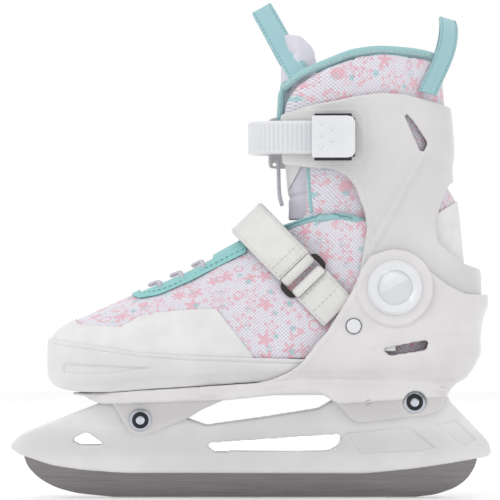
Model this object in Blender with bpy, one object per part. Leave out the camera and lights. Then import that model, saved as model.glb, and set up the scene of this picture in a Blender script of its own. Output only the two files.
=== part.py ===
"""A child's ice skate whose toe slides out to fit a growing foot: one left skate.

The toe points to -X, the outer side (with the buckle) to -Y and +Z is up. The origin is the middle of the
blade's running face. Sizes are written in millimetres, and MM turns them into metres where a mesh is made.
Places in the side view are drawn for the nominal skate, and side_x and side_z stretch them to the driving
sizes. Layers of the boot are offsets, in millimetres, from the outside of the fabric upper.
"""

import math

import bmesh
import bpy
import numpy as np
from mathutils import Matrix, Vector

MM = 0.001

# Driving sizes of the boot and of the runner under it
BOOT_LENGTH = 266.0
BOOT_WIDTH = 96.0
DECK_HEIGHT = 60.0
COLLAR_HEIGHT = 270.0

# What the side view is drawn for
DRAWN_LENGTH = 266.0
DRAWN_WIDTH = 96.0
DRAWN_DECK = 60.0
DRAWN_COLLAR = 270.0

# Walls of the layers, and the clearances between them
UPPER_WALL = 2.4
LINER_WALL = 4.0
TOE_SHELL_WALL = 2.6
HEEL_SHELL_WALL = 3.0
CUFF_WALL = 2.9
LAYER_GAP = 0.4
LINER_GAP = 0.9
FIT_GAP = 0.3
FOOTBED_THICKNESS = 4.0
TONGUE_THICKNESS = 6.0
TONGUE_HALF_WIDTH = 24.0
THROAT_HALF_WIDTH = 15.0

# Runner
BLADE_THICKNESS = 3.5
HOLDER_RAIL_WIDTH = 10.0
HOLDER_POST_WIDTH = 30.0
CHEEK_WALL = 4.4
BOLT_RADIUS = 3.0
BOLT_HEAD_RADIUS = 5.0
BOLT_HEAD_HEIGHT = 2.6
WASHER_RADIUS = 6.7
WASHER_THICKNESS = 1.0
HOLE_GAP = 0.35

# Cuff pivot
PIVOT_RADIUS = 4.0
PIVOT_HEAD_RADIUS = 8.0
PIVOT_HEAD_HEIGHT = 1.6
PIVOT_CAP_RADIUS = 16.3
PIVOT_CAP_HEIGHT = 3.2
PIVOT_BOSS_RADIUS = 22.7
PIVOT_BOSS_HEIGHT = 1.2
PIVOT_NUT_RADIUS = 7.0
PIVOT_NUT_THICKNESS = 1.1

# Size-release button
BUTTON_RADIUS = 4.3
BUTTON_PROUD = 0.9
BUTTON_FLANGE = 1.0
BUTTON_FLANGE_THICKNESS = 0.8
BUTTON_STEM_RADIUS = 2.3
SIZE_STEP = 6.67
SIZE_STEPS = 3
RACK_THICKNESS = 1.5

# Ladder strap and its buckle
LADDER_WIDTH = 20.0
LADDER_THICKNESS = 2.4
LADDER_RIB_PITCH = 3.0
LADDER_RIB_HEIGHT = 0.5
BUCKLE_PLATE = 1.2
BUCKLE_EAR = 1.3
LEVER_THICKNESS = 2.4
LEVER_PIN_RADIUS = 1.2
PAWL_PIN_RADIUS = 0.8
PAWL_REACH = 5.0
LUG_RADIUS = 2.2
PIN_PROUD = 0.6
BUCKLE_LENGTH = 25.8
LEVER_OVERHANG = 1.2
STRAP_CLEARANCE = 0.5

# Instep strap
INSTEP_WIDTH = 25.0
INSTEP_THICKNESS = 1.8
RING_BAR_RADIUS = 1.7
RING_HALF_LENGTH = 13.6
RING_HALF_WIDTH = 5.4

# Trim
BINDING_RADIUS = 2.0
LOOP_WIDTH = 11.0
LOOP_THICKNESS = 1.5
LACE_RADIUS = 1.2

# Offsets of the boot's layers from the outside of the upper
UPPER_IN = -UPPER_WALL
LINER_OUT = UPPER_IN - LINER_GAP
LINER_IN = LINER_OUT - LINER_WALL
TOE_IN = LAYER_GAP
TOE_OUT = TOE_IN + TOE_SHELL_WALL
SHELL_IN = TOE_OUT + LAYER_GAP
SHELL_OUT = SHELL_IN + HEEL_SHELL_WALL

LENGTH_STRETCH = BOOT_LENGTH / DRAWN_LENGTH
WIDTH_STRETCH = BOOT_WIDTH / DRAWN_WIDTH
RUNNER_STRETCH = DECK_HEIGHT / DRAWN_DECK
BOOT_STRETCH = (COLLAR_HEIGHT - DECK_HEIGHT) / (DRAWN_COLLAR - DRAWN_DECK)


# ---------------------------------------------------------------- places and curves


def side_x(x):
    return x * LENGTH_STRETCH


def side_z(z):
    if z < DRAWN_DECK:
        return z * RUNNER_STRETCH
    return DECK_HEIGHT + (z - DRAWN_DECK) * BOOT_STRETCH


def side(x, z):
    return side_x(x), side_z(z)


def smooth_curve(points):
    """A function through the points that never overshoots them: a monotone cubic."""
    xs, ys = (np.array(values, float) for values in zip(*points))
    steps, rises = np.diff(xs), np.diff(ys)
    slopes = rises / steps
    tangents = np.zeros(len(xs))
    tangents[0], tangents[-1] = slopes[0], slopes[-1]
    for i in range(1, len(xs) - 1):
        before, after = slopes[i - 1], slopes[i]
        if before * after > 0:
            tangents[i] = 2 * before * after / (before + after)

    def value(x):
        x = min(max(x, xs[0]), xs[-1])
        i = min(int(np.searchsorted(xs, x, "right")) - 1, len(steps) - 1)
        u = (x - xs[i]) / steps[i]
        return float(
            ys[i] * (1 + 2 * u) * (1 - u) ** 2
            + ys[i + 1] * u * u * (3 - 2 * u)
            + steps[i] * (tangents[i] * u * (1 - u) ** 2 + tangents[i + 1] * u * u * (u - 1))
        )

    return value


def side_curve(*points):
    """A height along the boot, drawn as (x, z) points."""
    return smooth_curve([side(x, z) for x, z in points])


def upright_curve(*points):
    """A place along X for each height, drawn as (z, x) points."""
    return smooth_curve([(side_z(z), side_x(x)) for z, x in points])


def rounded(corners, arc_steps=3):
    """A closed outline through (x, z) corners. A third number rounds that corner to the radius, if its sides allow."""
    places = [np.array(side(corner[0], corner[1])) for corner in corners]
    outline = []
    for i, corner in enumerate(corners):
        here, before, after = places[i], places[i - 1], places[(i + 1) % len(places)]
        if len(corner) < 3:
            outline.append(here)
            continue
        to_before, to_after = before - here, after - here
        reach_before, reach_after = np.linalg.norm(to_before), np.linalg.norm(to_after)
        to_before, to_after = to_before / reach_before, to_after / reach_after
        half_angle = math.acos(np.clip(to_before @ to_after, -1, 1)) / 2
        reach = min(corner[2] / math.tan(half_angle), 0.48 * reach_before, 0.48 * reach_after)
        first, last = here + to_before * reach, here + to_after * reach
        for step in range(arc_steps + 1):
            u = step / arc_steps
            outline.append(first * (1 - u) ** 2 + here * 2 * u * (1 - u) + last * u * u)
    return [tuple(point) for point in outline]


# ---------------------------------------------------------------- the boot's form

# Half width of the upper along the foot, at its widest height
foot_half_width = smooth_curve(
    [
        (side_x(x), w * WIDTH_STRETCH)
        for x, w in (
            (-119, 44.0), (-80, 44.0), (-50, 45.0), (-25, 44.6), (0, 42.8),
            (20, 40.6), (40, 38.4), (62, 36.8), (86, 36.2), (140, 36.2),
        )
    ]
)
# How much narrower the sides are close above the sole
side_fullness = smooth_curve([(-6, 0.78), (0, 0.83), (4, 0.90), (10, 0.955), (18, 0.99), (26, 1.0), (99, 1.0)])
# The chassis deck's top, which the toe shell slides on
deck_top = side_curve((-119, 62.9), (-93, 63.2), (-55, 65.6), (-17, 68.0), (4, 69.4), (40, 70.2), (135, 71.0))
# The upper's ridge, seen from the side
ridge = side_curve(
    (-119, 100.0), (-93, 111.6), (-70, 122.0), (-37, 136.5), (-17, 147.5), (0, 157.0), (19, 170.0), (40, 172.0),
    (62, 165.0), (100, 148.0),
)
# Rear of the heel shell's outside at each height
heel_rear = upright_curve(
    (50, 116.0), (58, 117.5), (64, 119.4), (69, 124.5), (73, 131.4), (80, 136.4), (88, 139.6), (95, 139.3),
    (109, 141.4), (116, 143.8), (126, 143.8), (150, 142.0),
)
WIDEST_HEIGHT = side_z(90)
TOE_TIP = side_x(-118.8)
TOE_ROUND_FROM = side_x(-60)
TOE_DROP_FROM = side_x(-75)
HEEL_ROUND_FROM = side_x(85)
DOME_POWER = 2.2


def sole(x):
    """The underside of the upper: the toe shell's sole and two gaps lie between it and the deck."""
    return deck_top(x) + FIT_GAP + TOE_OUT


def cap(distance, reach, power):
    """The share of a width or height left this far into a rounded end."""
    share = min(max(distance / reach, 0.0), 1.0)
    return (1 - share**power) ** (1 / power)


def half_width(x, z, offset):
    """Half the boot's width at a place in its side walls, for a layer at this offset."""
    return foot_half_width(x) * side_fullness(z - sole(x)) + offset


def foot_section(x, offset, dome_steps=5, side_steps=3):
    """Half of a cross-section (y, z) of the foot, from the middle of the sole over the side to the ridge."""
    tip = TOE_TIP - offset
    narrow = cap(TOE_ROUND_FROM - x, TOE_ROUND_FROM - tip, 2.2)
    drop = cap(TOE_DROP_FROM - x, TOE_DROP_FROM - tip, 6.0)
    lift = cap(TOE_DROP_FROM - x, TOE_DROP_FROM - tip, 4.0)
    middle = min(WIDEST_HEIGHT, side_z(82) + max(0.0, x - TOE_TIP) * 0.12)
    low = middle - (middle - sole(x) + offset) * lift
    high = middle + (ridge(x) - middle + offset) * drop
    half = [(0.0, low), (half_width(x, low, offset) * narrow * 0.6, low)]
    for step in range(side_steps):
        z = low + (middle - low) * (step / side_steps) ** 1.3
        half.append((half_width(x, z, offset) * narrow, z))
    for step in range(dome_steps + 1):
        angle = math.pi / 2 * step / dome_steps
        y = half_width(x, middle, offset) * narrow * max(math.cos(angle), 0.0) ** (2 / DOME_POWER)
        half.append((y, middle + (high - middle) * math.sin(angle) ** (2 / DOME_POWER)))
    return half


def foot_form(offset, past_rear=0.0, stations=14):
    """The foot as a closed solid, from the toe to a flat end inside the heel."""
    tip, end = TOE_TIP - offset, side_x(100)
    rings = []
    for station in range(1, stations + 1):
        x = tip + (end - tip) * (1 - math.cos(math.pi / 2 * station / stations))
        half = foot_section(x, offset)
        x += past_rear if station == stations else 0.0
        ring = half + [(-y, z) for y, z in half[-2:0:-1]]
        rings.append([(x, y, z) for y, z in ring])
    nose = (tip, 0.0, (rings[0][0][2] + max(point[2] for point in rings[0])) / 2)
    return loft(rings, start_point=nose)


HEEL_LEVELS = (62, 66, 70, 75, 80, 88, 96, 106, 116, 126, 140)
LEG_LEVELS = (110, 121, 133, 146, 160, 174, 186, 198, 212, 228, 246, 265)


def levels_between(bottom, top, drawn):
    """Heights from bottom to top with the drawn levels between them, so that all layers bend at the same ones."""
    return [bottom] + [side_z(z) for z in drawn if bottom + 0.5 < side_z(z) < top - 0.5] + [top]


def heel_form(offset, bottom, top, front=-60.0, side_steps=5, round_steps=6):
    """The heel as a closed solid with a round rear, from one height to another."""
    rings = []
    for z in levels_between(bottom, top, HEEL_LEVELS):
        rear = heel_rear(z) + offset - SHELL_OUT
        half = []
        for step in range(side_steps):
            x = side_x(front) + (HEEL_ROUND_FROM - side_x(front)) * step / side_steps
            half.append((x, half_width(x, z, offset)))
        for step in range(round_steps + 1):
            angle = math.pi / 2 * step / round_steps
            reach = max(math.sin(angle), 0.0) ** (2 / 2.4)
            x = HEEL_ROUND_FROM + (rear - HEEL_ROUND_FROM) * reach
            y = half_width(HEEL_ROUND_FROM, z, offset) * max(math.cos(angle), 0.0) ** (2 / 2.4)
            half.append((x, y))
        half[-1] = (half[-1][0], 0.0)
        ring = [(x, y, z) for x, y in half] + [(x, -y, z) for x, y in half[-2::-1]]
        rings.append(ring)
    return loft(rings)


def width_curve(*points):
    return smooth_curve([(side_z(z), w * WIDTH_STRETCH) for z, w in points])


# The liner's leg: front, rear and half width of its outside at each height
LEG_MIDDLE = side_x(72)
LEG_POWER = 2.5
leg_front = upright_curve((100, 32.0), (150, 15.0), (172, 18.0), (200, 16.0), (230, 13.5), (300, 13.0))
leg_rear = upright_curve(
    (100, 131.0), (126, 130.0), (141, 128.3), (160, 126.5), (178, 124.2), (188, 118.6), (200, 118.4),
    (225, 118.0), (245, 116.3), (272, 113.0), (300, 111.0),
)
leg_width = width_curve((100, 33.0), (126, 33.0), (150, 32.8), (168, 33.2), (180, 34.0), (200, 36.8), (240, 40.8), (300, 43.6))
# The cuff's outside
cuff_front = upright_curve((100, -5.0), (300, -5.0))
cuff_rear = upright_curve(
    (100, 135.2), (110, 137.0), (121, 139.8), (136, 139.3), (150, 134.0), (170, 127.5), (186, 123.4), (198, 122.4),
    (206, 123.5), (225, 122.4), (245, 120.0),
)
cuff_width = width_curve((100, 39.4), (140, 39.4), (162, 39.5), (178, 40.2), (200, 42.0), (216, 43.2), (245, 45.6))


def leg_form(front, rear, width, offset, bottom, top, around=8):
    """A leg as a closed solid: ovals between two heights, wide by the width curve and as long as front and rear say."""
    rings = []
    for z in levels_between(bottom, top, LEG_LEVELS):
        ring = []
        for turn in range(4 * around):
            angle = math.pi / 2 * turn / around
            along, across = math.cos(angle), math.sin(angle)
            reach = (rear(z) - LEG_MIDDLE if along > 0 else LEG_MIDDLE - front(z)) + offset
            x = LEG_MIDDLE + reach * math.copysign(abs(along) ** (2 / LEG_POWER), along)
            y = (width(z) + offset) * math.copysign(abs(across) ** (2 / LEG_POWER), across)
            ring.append((x, y, z))
        rings.append(ring)
    return loft(rings)


def liner_leg(offset, bottom, top):
    return leg_form(leg_front, leg_rear, leg_width, offset, side_z(bottom), side_z(top))


def cuff_leg(offset, bottom, top):
    return leg_form(cuff_front, cuff_rear, cuff_width, offset, side_z(bottom), side_z(top))


# ---------------------------------------------------------------- meshes


def mesh_of(points, faces):
    """A mesh from points in millimetres, with its faces turned outwards."""
    mesh = bpy.data.meshes.new("shape")
    mesh.from_pydata([Vector(point) * MM for point in points], [], faces)
    work = bmesh.new()
    work.from_mesh(mesh)
    bmesh.ops.remove_doubles(work, verts=work.verts, dist=1e-6)
    bmesh.ops.dissolve_degenerate(work, edges=work.edges, dist=1e-6)
    bmesh.ops.recalc_face_normals(work, faces=work.faces)
    work.to_mesh(mesh)
    work.free()
    return mesh


def loft(rings, start_point=None):
    """A closed skin over rings of equal length, with a point or a flat face at the start and a flat face at the end."""
    points = [point for ring in rings for point in ring]
    size, faces = len(rings[0]), []
    for row in range(len(rings) - 1):
        for i in range(size):
            j = (i + 1) % size
            faces.append((row * size + i, row * size + j, (row + 1) * size + j, (row + 1) * size + i))
    if start_point is None:
        faces.append(tuple(range(size))[::-1])
    else:
        points.append(start_point)
        faces += [(len(points) - 1, (i + 1) % size, i) for i in range(size)]
    last = (len(rings) - 1) * size
    faces.append(tuple(range(last, last + size)))
    return mesh_of(points, faces)


def prism(outline, y0, y1):
    """A side-view outline made solid from y0 to y1."""
    return loft([[(x, y0, z) for x, z in outline], [(x, y1, z) for x, z in outline]])


def disc(centre, radius, y0, y1, sides=24, top_radius=None):
    """A round solid on an axis along Y."""
    rings = []
    for y, r in ((y0, radius), (y1, radius if top_radius is None else top_radius)):
        angles = [2 * math.pi * i / sides for i in range(sides)]
        rings.append([(centre[0] + r * math.cos(a), y, centre[1] + r * math.sin(a)) for a in angles])
    return loft(rings)


def block(x0, x1, y0, y1, z0, z1):
    return prism([(x0, z0), (x1, z0), (x1, z1), (x0, z1)], y0, y1)


def rod(x, y, radius, z0, z1, sides=16):
    """A round solid on an upright axis."""
    angles = [2 * math.pi * i / sides for i in range(sides)]
    return loft([[(x + radius * math.cos(a), y + radius * math.sin(a), z) for a in angles] for z in (z0, z1)])


def ribbon(path, across, width, thickness):
    """A flat band along a path of points, its width along the unit vector across."""
    path = [Vector(point) for point in path]
    across = Vector(across)
    rings = []
    for i, point in enumerate(path):
        along = (path[min(i + 1, len(path) - 1)] - path[max(i - 1, 0)]).normalized()
        out = along.cross(across).normalized()
        corners = ((-1, -1), (1, -1), (1, 1), (-1, 1))
        rings.append([point + across * (width / 2 * a) + out * (thickness / 2 * b) for a, b in corners])
    return loft(rings)


def tube(path, radius, sides=8):
    """A round cord along a path of points."""
    path = [Vector(point) for point in path]
    rings, side_way = [], None
    for i, point in enumerate(path):
        along = (path[min(i + 1, len(path) - 1)] - path[max(i - 1, 0)]).normalized()
        side_way = along.orthogonal() if side_way is None else side_way - along * side_way.dot(along)
        side_way.normalize()
        other = along.cross(side_way)
        angles = [2 * math.pi * k / sides for k in range(sides)]
        rings.append([point + (side_way * math.cos(a) + other * math.sin(a)) * radius for a in angles])
    return loft(rings)


def along_points(points, steps):
    """Points along a smooth curve through the given ones, evenly spaced in length."""
    points = np.array(points, float)
    lengths = np.concatenate([[0], np.cumsum(np.linalg.norm(np.diff(points, axis=0), axis=1))])
    curves = [natural_curve(lengths, points[:, axis]) for axis in range(points.shape[1])]
    return [tuple(curve(s) for curve in curves) for s in np.linspace(0, lengths[-1], steps)]


def natural_curve(xs, ys):
    """A cubic spline through the points with no bend at its ends."""
    steps = np.diff(xs)
    size = len(xs)
    rows, right = np.eye(size), np.zeros(size)
    for i in range(1, size - 1):
        rows[i, i - 1 : i + 2] = steps[i - 1], 2 * (steps[i - 1] + steps[i]), steps[i]
        right[i] = 6 * ((ys[i + 1] - ys[i]) / steps[i] - (ys[i] - ys[i - 1]) / steps[i - 1])
    bends = np.linalg.solve(rows, right)

    def value(x):
        i = min(max(int(np.searchsorted(xs, x, "right")) - 1, 0), len(steps) - 1)
        a, b, h = xs[i + 1] - x, x - xs[i], steps[i]
        return float(
            (bends[i] * a**3 + bends[i + 1] * b**3) / (6 * h)
            + (ys[i] / h - bends[i] * h / 6) * a
            + (ys[i + 1] / h - bends[i + 1] * h / 6) * b
        )

    return value


def boolean(operation, base, *others):
    """The mesh left by one exact Boolean of base with each other mesh in turn."""
    holder = bpy.data.objects.new("boolean_base", base)
    bpy.context.scene.collection.objects.link(holder)
    tools = []
    for other in others:
        tool = bpy.data.objects.new("boolean_tool", other)
        bpy.context.scene.collection.objects.link(tool)
        modifier = holder.modifiers.new("boolean", "BOOLEAN")
        modifier.operation, modifier.object, modifier.solver = operation, tool, "EXACT"
        tools.append(tool)
    graph = bpy.context.evaluated_depsgraph_get()
    result = bpy.data.meshes.new_from_object(holder.evaluated_get(graph))
    for obj in (holder, *tools):
        bpy.data.objects.remove(obj, do_unlink=True)
    return result


def cut(base, *others):
    return boolean("DIFFERENCE", base, *others)


def join(base, *others):
    return boolean("UNION", base, *others)


def common(base, *others):
    return boolean("INTERSECT", base, *others)


def mirrored(mesh):
    """The same mesh on the other side of the skate."""
    copy = mesh.copy()
    copy.transform(Matrix.Scale(-1, 4, (0, 1, 0)))
    copy.flip_normals()
    return copy


def shaped_across(mesh, levels, half_width_at):
    """A prism whose side faces follow a half width that changes with height."""
    work = bmesh.new()
    work.from_mesh(mesh)
    for level in levels:
        everything = work.verts[:] + work.edges[:] + work.faces[:]
        bmesh.ops.bisect_plane(work, geom=everything, plane_co=(0, 0, level * MM), plane_no=(0, 0, 1), dist=1e-7)
    for vert in work.verts:
        vert.co.y = math.copysign(half_width_at(vert.co.z / MM) * MM, vert.co.y)
    bmesh.ops.triangulate(work, faces=work.faces)
    shaped = bpy.data.meshes.new("shape")
    work.to_mesh(shaped)
    work.free()
    return shaped


# ---------------------------------------------------------------- materials and objects

MATERIALS = {
    "white_plastic": ((0.82, 0.81, 0.81), 0.38, 0.0),
    "white_vinyl": ((0.80, 0.80, 0.79), 0.50, 0.0),
    "printed_mesh": ((0.80, 0.70, 0.73), 0.85, 0.0),
    "teal_webbing": ((0.28, 0.62, 0.64), 0.80, 0.0),
    "padding": ((0.62, 0.62, 0.68), 0.90, 0.0),
    "lace": ((0.62, 0.60, 0.67), 0.80, 0.0),
    "blade_steel": ((0.34, 0.33, 0.33), 0.35, 1.0),
    "chrome": ((0.75, 0.76, 0.78), 0.15, 1.0),
    "buckle_steel": ((0.16, 0.16, 0.17), 0.40, 1.0),
    "black_plastic": ((0.02, 0.02, 0.02), 0.30, 0.0),
    "spring_steel": ((0.45, 0.45, 0.47), 0.30, 1.0),
}


def clear_scene():
    for obj in list(bpy.data.objects):
        bpy.data.objects.remove(obj, do_unlink=True)


def make_materials():
    made = {}
    for name, (colour, roughness, metallic) in MATERIALS.items():
        material = bpy.data.materials.new(name)
        material.use_nodes = True
        shader = material.node_tree.nodes["Principled BSDF"]
        shader.inputs["Base Color"].default_value = (*colour, 1.0)
        shader.inputs["Roughness"].default_value = roughness
        shader.inputs["Metallic"].default_value = metallic
        made[name] = material
    return made


def add(name, mesh, material, parent=None):
    """A named sub-part. With a parent, it keeps its place in the world and moves with that empty."""
    mesh.name = name
    mesh.materials.clear()
    mesh.materials.append(SURFACES[material])
    mesh.shade_smooth()
    mesh.set_sharp_from_angle(angle=math.radians(35))
    obj = bpy.data.objects.new(name, mesh)
    bpy.context.scene.collection.objects.link(obj)
    if parent:
        obj.parent = parent
        obj.matrix_parent_inverse = Matrix.Translation(-parent.location)
    return obj


def joint_empty(name, x, y, z):
    """An empty on a joint's axis, which the moving pieces are parented to."""
    empty = bpy.data.objects.new(name, None)
    empty.location = Vector((x, y, z)) * MM
    bpy.context.scene.collection.objects.link(empty)
    return empty


# ---------------------------------------------------------------- runner

FRONT_BOLT = side(-65.5, 46.7)
REAR_BOLT = side(99.1, 57.5)
PIVOT = side(86.8, 126.4)
BUTTON = side(62.2, 103.4)
CHEEK_IN = HOLDER_POST_WIDTH / 2 + FIT_GAP
CHEEK_OUT = CHEEK_IN + CHEEK_WALL
FAR = 90.0 * WIDTH_STRETCH  # a half width that clears every side wall


def make_blade():
    outline = rounded(
        [(-136, 24.6), (-133.8, 18.4, 30), (-127.5, 11.6, 30), (-117, 5.6, 40), (-104, 2.2, 60), (-82, 0), (100, 0),
         (112, 1.4, 40), (124, 5.4, 40), (131.5, 11, 30), (136, 18.5, 30), (137.2, 23), (125, 26.5), (-124, 26.5)]
    )
    add("blade", prism(outline, -BLADE_THICKNESS / 2, BLADE_THICKNESS / 2), "blade_steel")


def holder_half_width(z):
    """The rail's half width, growing upwards to the posts between the chassis cheeks."""
    low, high = side_z(24), side_z(44)
    share = min(max((z - low) / (high - low), 0.0), 1.0)
    return HOLDER_RAIL_WIDTH / 2 + (HOLDER_POST_WIDTH - HOLDER_RAIL_WIDTH) / 2 * share * share * (3 - 2 * share)


def make_blade_holder():
    outline = rounded(
        [(-145.4, 30.5, 7), (-137.6, 25.4, 12), (-119, 19.2, 60), (-100.7, 16.4, 90), (-76, 14.6, 150), (71, 14.4, 150),
         (99.8, 17.3, 90), (119, 20.2, 60), (146.5, 25, 7), (143.5, 34, 12), (120.9, 57.3, 5), (118, 63), (56, 63),
         (49.2, 57.8, 6), (41.6, 53.3, 20), (8.6, 48.1, 60), (-25.9, 43.3, 12), (-37.6, 47.4, 10), (-50, 56.2),
         (-91, 56.2, 6), (-137.4, 38.2, 20)]
    )
    windows = (
        [(-108.6, 34.5, 2), (-97.9, 40, 2), (-86, 31.2, 1.5), (-101, 31.2, 8)],
        [(-25.9, 33, 6), (57.2, 38.8, 3), (51.5, 27.8, 9), (-23.5, 27.1, 5)],
    )
    slot = rounded([(-160, 27), (-160, -5), (160, -5), (160, 27)])
    slot_half = BLADE_THICKNESS / 2 + FIT_GAP
    holder = cut(prism(outline, -40, 40), *[prism(rounded(window), -50, 50) for window in windows])
    levels = [side_z(z) for z in (19, 24, 29, 34, 39, 44, 50)]
    holder = shaped_across(holder, levels, holder_half_width)
    bolts = [disc(bolt, BOLT_RADIUS + HOLE_GAP, -50, 50, 16) for bolt in (FRONT_BOLT, REAR_BOLT)]
    add("blade_holder", cut(holder, prism(slot, -slot_half, slot_half), *bolts), "white_plastic")


def make_bolt(name, centre):
    """A through bolt: washer, domed head, shank and, on the inner side, a washer and a sleeve nut."""
    washer_in = CHEEK_OUT + FIT_GAP
    washer_out = washer_in + WASHER_THICKNESS
    head_in = washer_out + FIT_GAP
    nut_out = head_in + BOLT_HEAD_HEIGHT
    shank = disc(centre, BOLT_RADIUS, -head_in - 0.5, nut_out - 1.0, 16)
    head = disc(centre, BOLT_HEAD_RADIUS * 0.72, -nut_out, -head_in, 24, BOLT_HEAD_RADIUS)
    add(name + "_bolt", join(shank, head), "chrome")
    bore = disc(centre, BOLT_RADIUS + HOLE_GAP, -99, 99, 16)
    for place, sign in (("outer", -1), ("inner", 1)):
        washer = disc(centre, WASHER_RADIUS, *sorted((sign * washer_in, sign * washer_out)))
        add(f"{name}_washer_{place}", cut(washer, bore), "chrome")
    nut = disc(centre, BOLT_HEAD_RADIUS, head_in, nut_out, 24, BOLT_HEAD_RADIUS * 0.8)
    add(name + "_nut", cut(nut, bore), "chrome")


# ---------------------------------------------------------------- chassis

SHELL_EDGE = [
    (-30, 62), (-30, 67.2), (-5.4, 68.5, 10), (4.2, 69.4, 10), (14, 71.8, 12), (23.3, 75.7, 12), (31, 81.4, 14),
    (40.5, 93.8, 20), (46.3, 100.1, 14), (53.4, 111.6, 20), (61.4, 125, 20), (66, 136, 10), (71.6, 145.6, 4),
    (86, 149.6, 9), (93.6, 148.6, 6), (107.5, 136.3, 20), (118.2, 128.2, 20), (129, 122.6, 12), (146.5, 121.6),
    (146.5, 62),
]
HEEL_VENT = [(79.2, 90, 1.5), (107.4, 95.3, 2), (105.4, 89.2, 2), (83.6, 85.7, 2)]


def cheek_half_width(z):
    """The chassis posts, flaring from their cheeks at the bolts out to the deck."""
    low, high = side_z(50), side_z(64)
    share = min(max((z - low) / (high - low), 0.0), 1.0)
    return CHEEK_OUT + (foot_half_width(side_x(-60)) * 0.72 - CHEEK_OUT) * share**2


def deck_half_width(x, shrink=0.0):
    """The deck under the toe shell in front, and as wide as the heel shell behind."""
    share = min(max((x - side_x(-30)) / (side_x(10) - side_x(-30)), 0.0), 1.0)
    offset = TOE_OUT + (SHELL_OUT - TOE_OUT) * share * share * (3 - 2 * share)
    tip, rear = side_x(-107.4), side_x(131.4)
    width = (half_width(x, sole(x) - 1, offset) - shrink) * cap(TOE_ROUND_FROM - x, TOE_ROUND_FROM - tip, 2.2)
    return width * cap(x - HEEL_ROUND_FROM, rear - HEEL_ROUND_FROM, 2.2)


def make_deck():
    """The plate under the foot and the two posts that straddle the runner."""
    outline = rounded(
        [(-107.4, 62.8), (-105.6, 61.7, 1), (-98.8, 61.2, 2), (-95.8, 59.2, 2), (-88, 56.4, 6), (-14.2, 59.1, 20),
         (25.1, 63.2, 30), (40.3, 64.5, 8), (46, 61.2, 8), (52.3, 56.6, 4), (118.4, 60.8, 3), (119.6, 64, 4),
         (123.5, 68.6, 6), (131.4, 72.0), (60, 70.6), (4, 69.4), (-17, 68), (-55, 65.6), (-93, 63.2)]
    )
    stations = [side_x(-107.4) + (side_x(131.4) - side_x(-107.4)) * (1 - math.cos(math.pi * i / 26)) / 2 for i in range(27)]
    plan = [(x, deck_half_width(x)) for x in stations[1:-1]]
    edge = [(stations[0], 0.0)] + plan + [(stations[-1], 0.0)] + [(x, -y) for x, y in reversed(plan)]
    plate = loft([[(x, y, z) for x, y in edge] for z in (side_z(40), side_z(80))])
    deck = common(prism(outline, -FAR, FAR), plate)
    posts = []
    for corners in (
        [(-83, 58), (-72.5, 39.7, 5), (-65.8, 36.6, 6), (-58, 38.8, 6), (-37.6, 47.4, 20), (-27.9, 53.3, 12), (-14.2, 59.4),
         (-14.2, 64), (-83, 62)],
        [(51, 58), (60.8, 46.8, 8), (66.5, 44.6, 6), (75, 45.8, 10), (109.8, 50, 8), (116.4, 54.4, 6), (118, 61.0), (118, 66), (51, 66)],
    ):
        solid = prism(rounded(corners), -40, 40)
        posts.append(shaped_across(solid, [side_z(z) for z in (50, 53, 56, 59, 62)], cheek_half_width))
    return join(deck, *posts)


def make_chassis():
    outer = heel_form(SHELL_OUT, side_z(58), side_z(152))
    inner = heel_form(SHELL_IN, side_z(50), side_z(160), front=-70)
    wall = common(cut(outer, inner), prism(rounded(SHELL_EDGE), -FAR, FAR))
    boss_in = pivot_surface(SHELL_IN) + 0.6
    boss_out = pivot_surface(SHELL_OUT) + PIVOT_BOSS_HEIGHT
    bosses = [disc(PIVOT, PIVOT_BOSS_RADIUS, boss_in, boss_out, 40)]
    bosses.append(mirrored(bosses[0]))
    chassis = join(wall, make_deck(), *bosses)
    slot = prism(rounded([(-150, 30), (150, 30), (150, 58.6 + 5), (45, 63.6), (-30, 57), (-150, 56.8)]), -CHEEK_IN, CHEEK_IN)
    cutters = [slot, prism(rounded(HEEL_VENT), -FAR, FAR)]
    for bolt in (FRONT_BOLT, REAR_BOLT):
        seat = disc(bolt, WASHER_RADIUS + HOLE_GAP, CHEEK_OUT, FAR)
        cutters += [disc(bolt, BOLT_RADIUS + HOLE_GAP, -FAR, FAR, 16), seat, mirrored(seat)]
    cutters.append(disc(PIVOT, PIVOT_RADIUS + HOLE_GAP, -FAR, FAR, 16))
    head_seat = disc(PIVOT, PIVOT_HEAD_RADIUS + HOLE_GAP, boss_out - PIVOT_HEAD_HEIGHT - FIT_GAP, FAR)
    cutters += [head_seat, mirrored(head_seat), disc(BUTTON, BUTTON_RADIUS + HOLE_GAP, -FAR, 0, 20)]
    add("chassis_shell", cut(chassis, *cutters), "white_plastic")


def pivot_surface(offset):
    """How far out a layer of the heel lies at the cuff pivot."""
    return half_width(PIVOT[0], PIVOT[1], offset)


def cuff_half(x, z, offset):
    """Half the cuff's width at a place in its side walls."""
    reach = cuff_rear(z) - LEG_MIDDLE if x > LEG_MIDDLE else LEG_MIDDLE - cuff_front(z)
    return (cuff_width(z) + offset) * cap(abs(x - LEG_MIDDLE), reach + offset, LEG_POWER)


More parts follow.
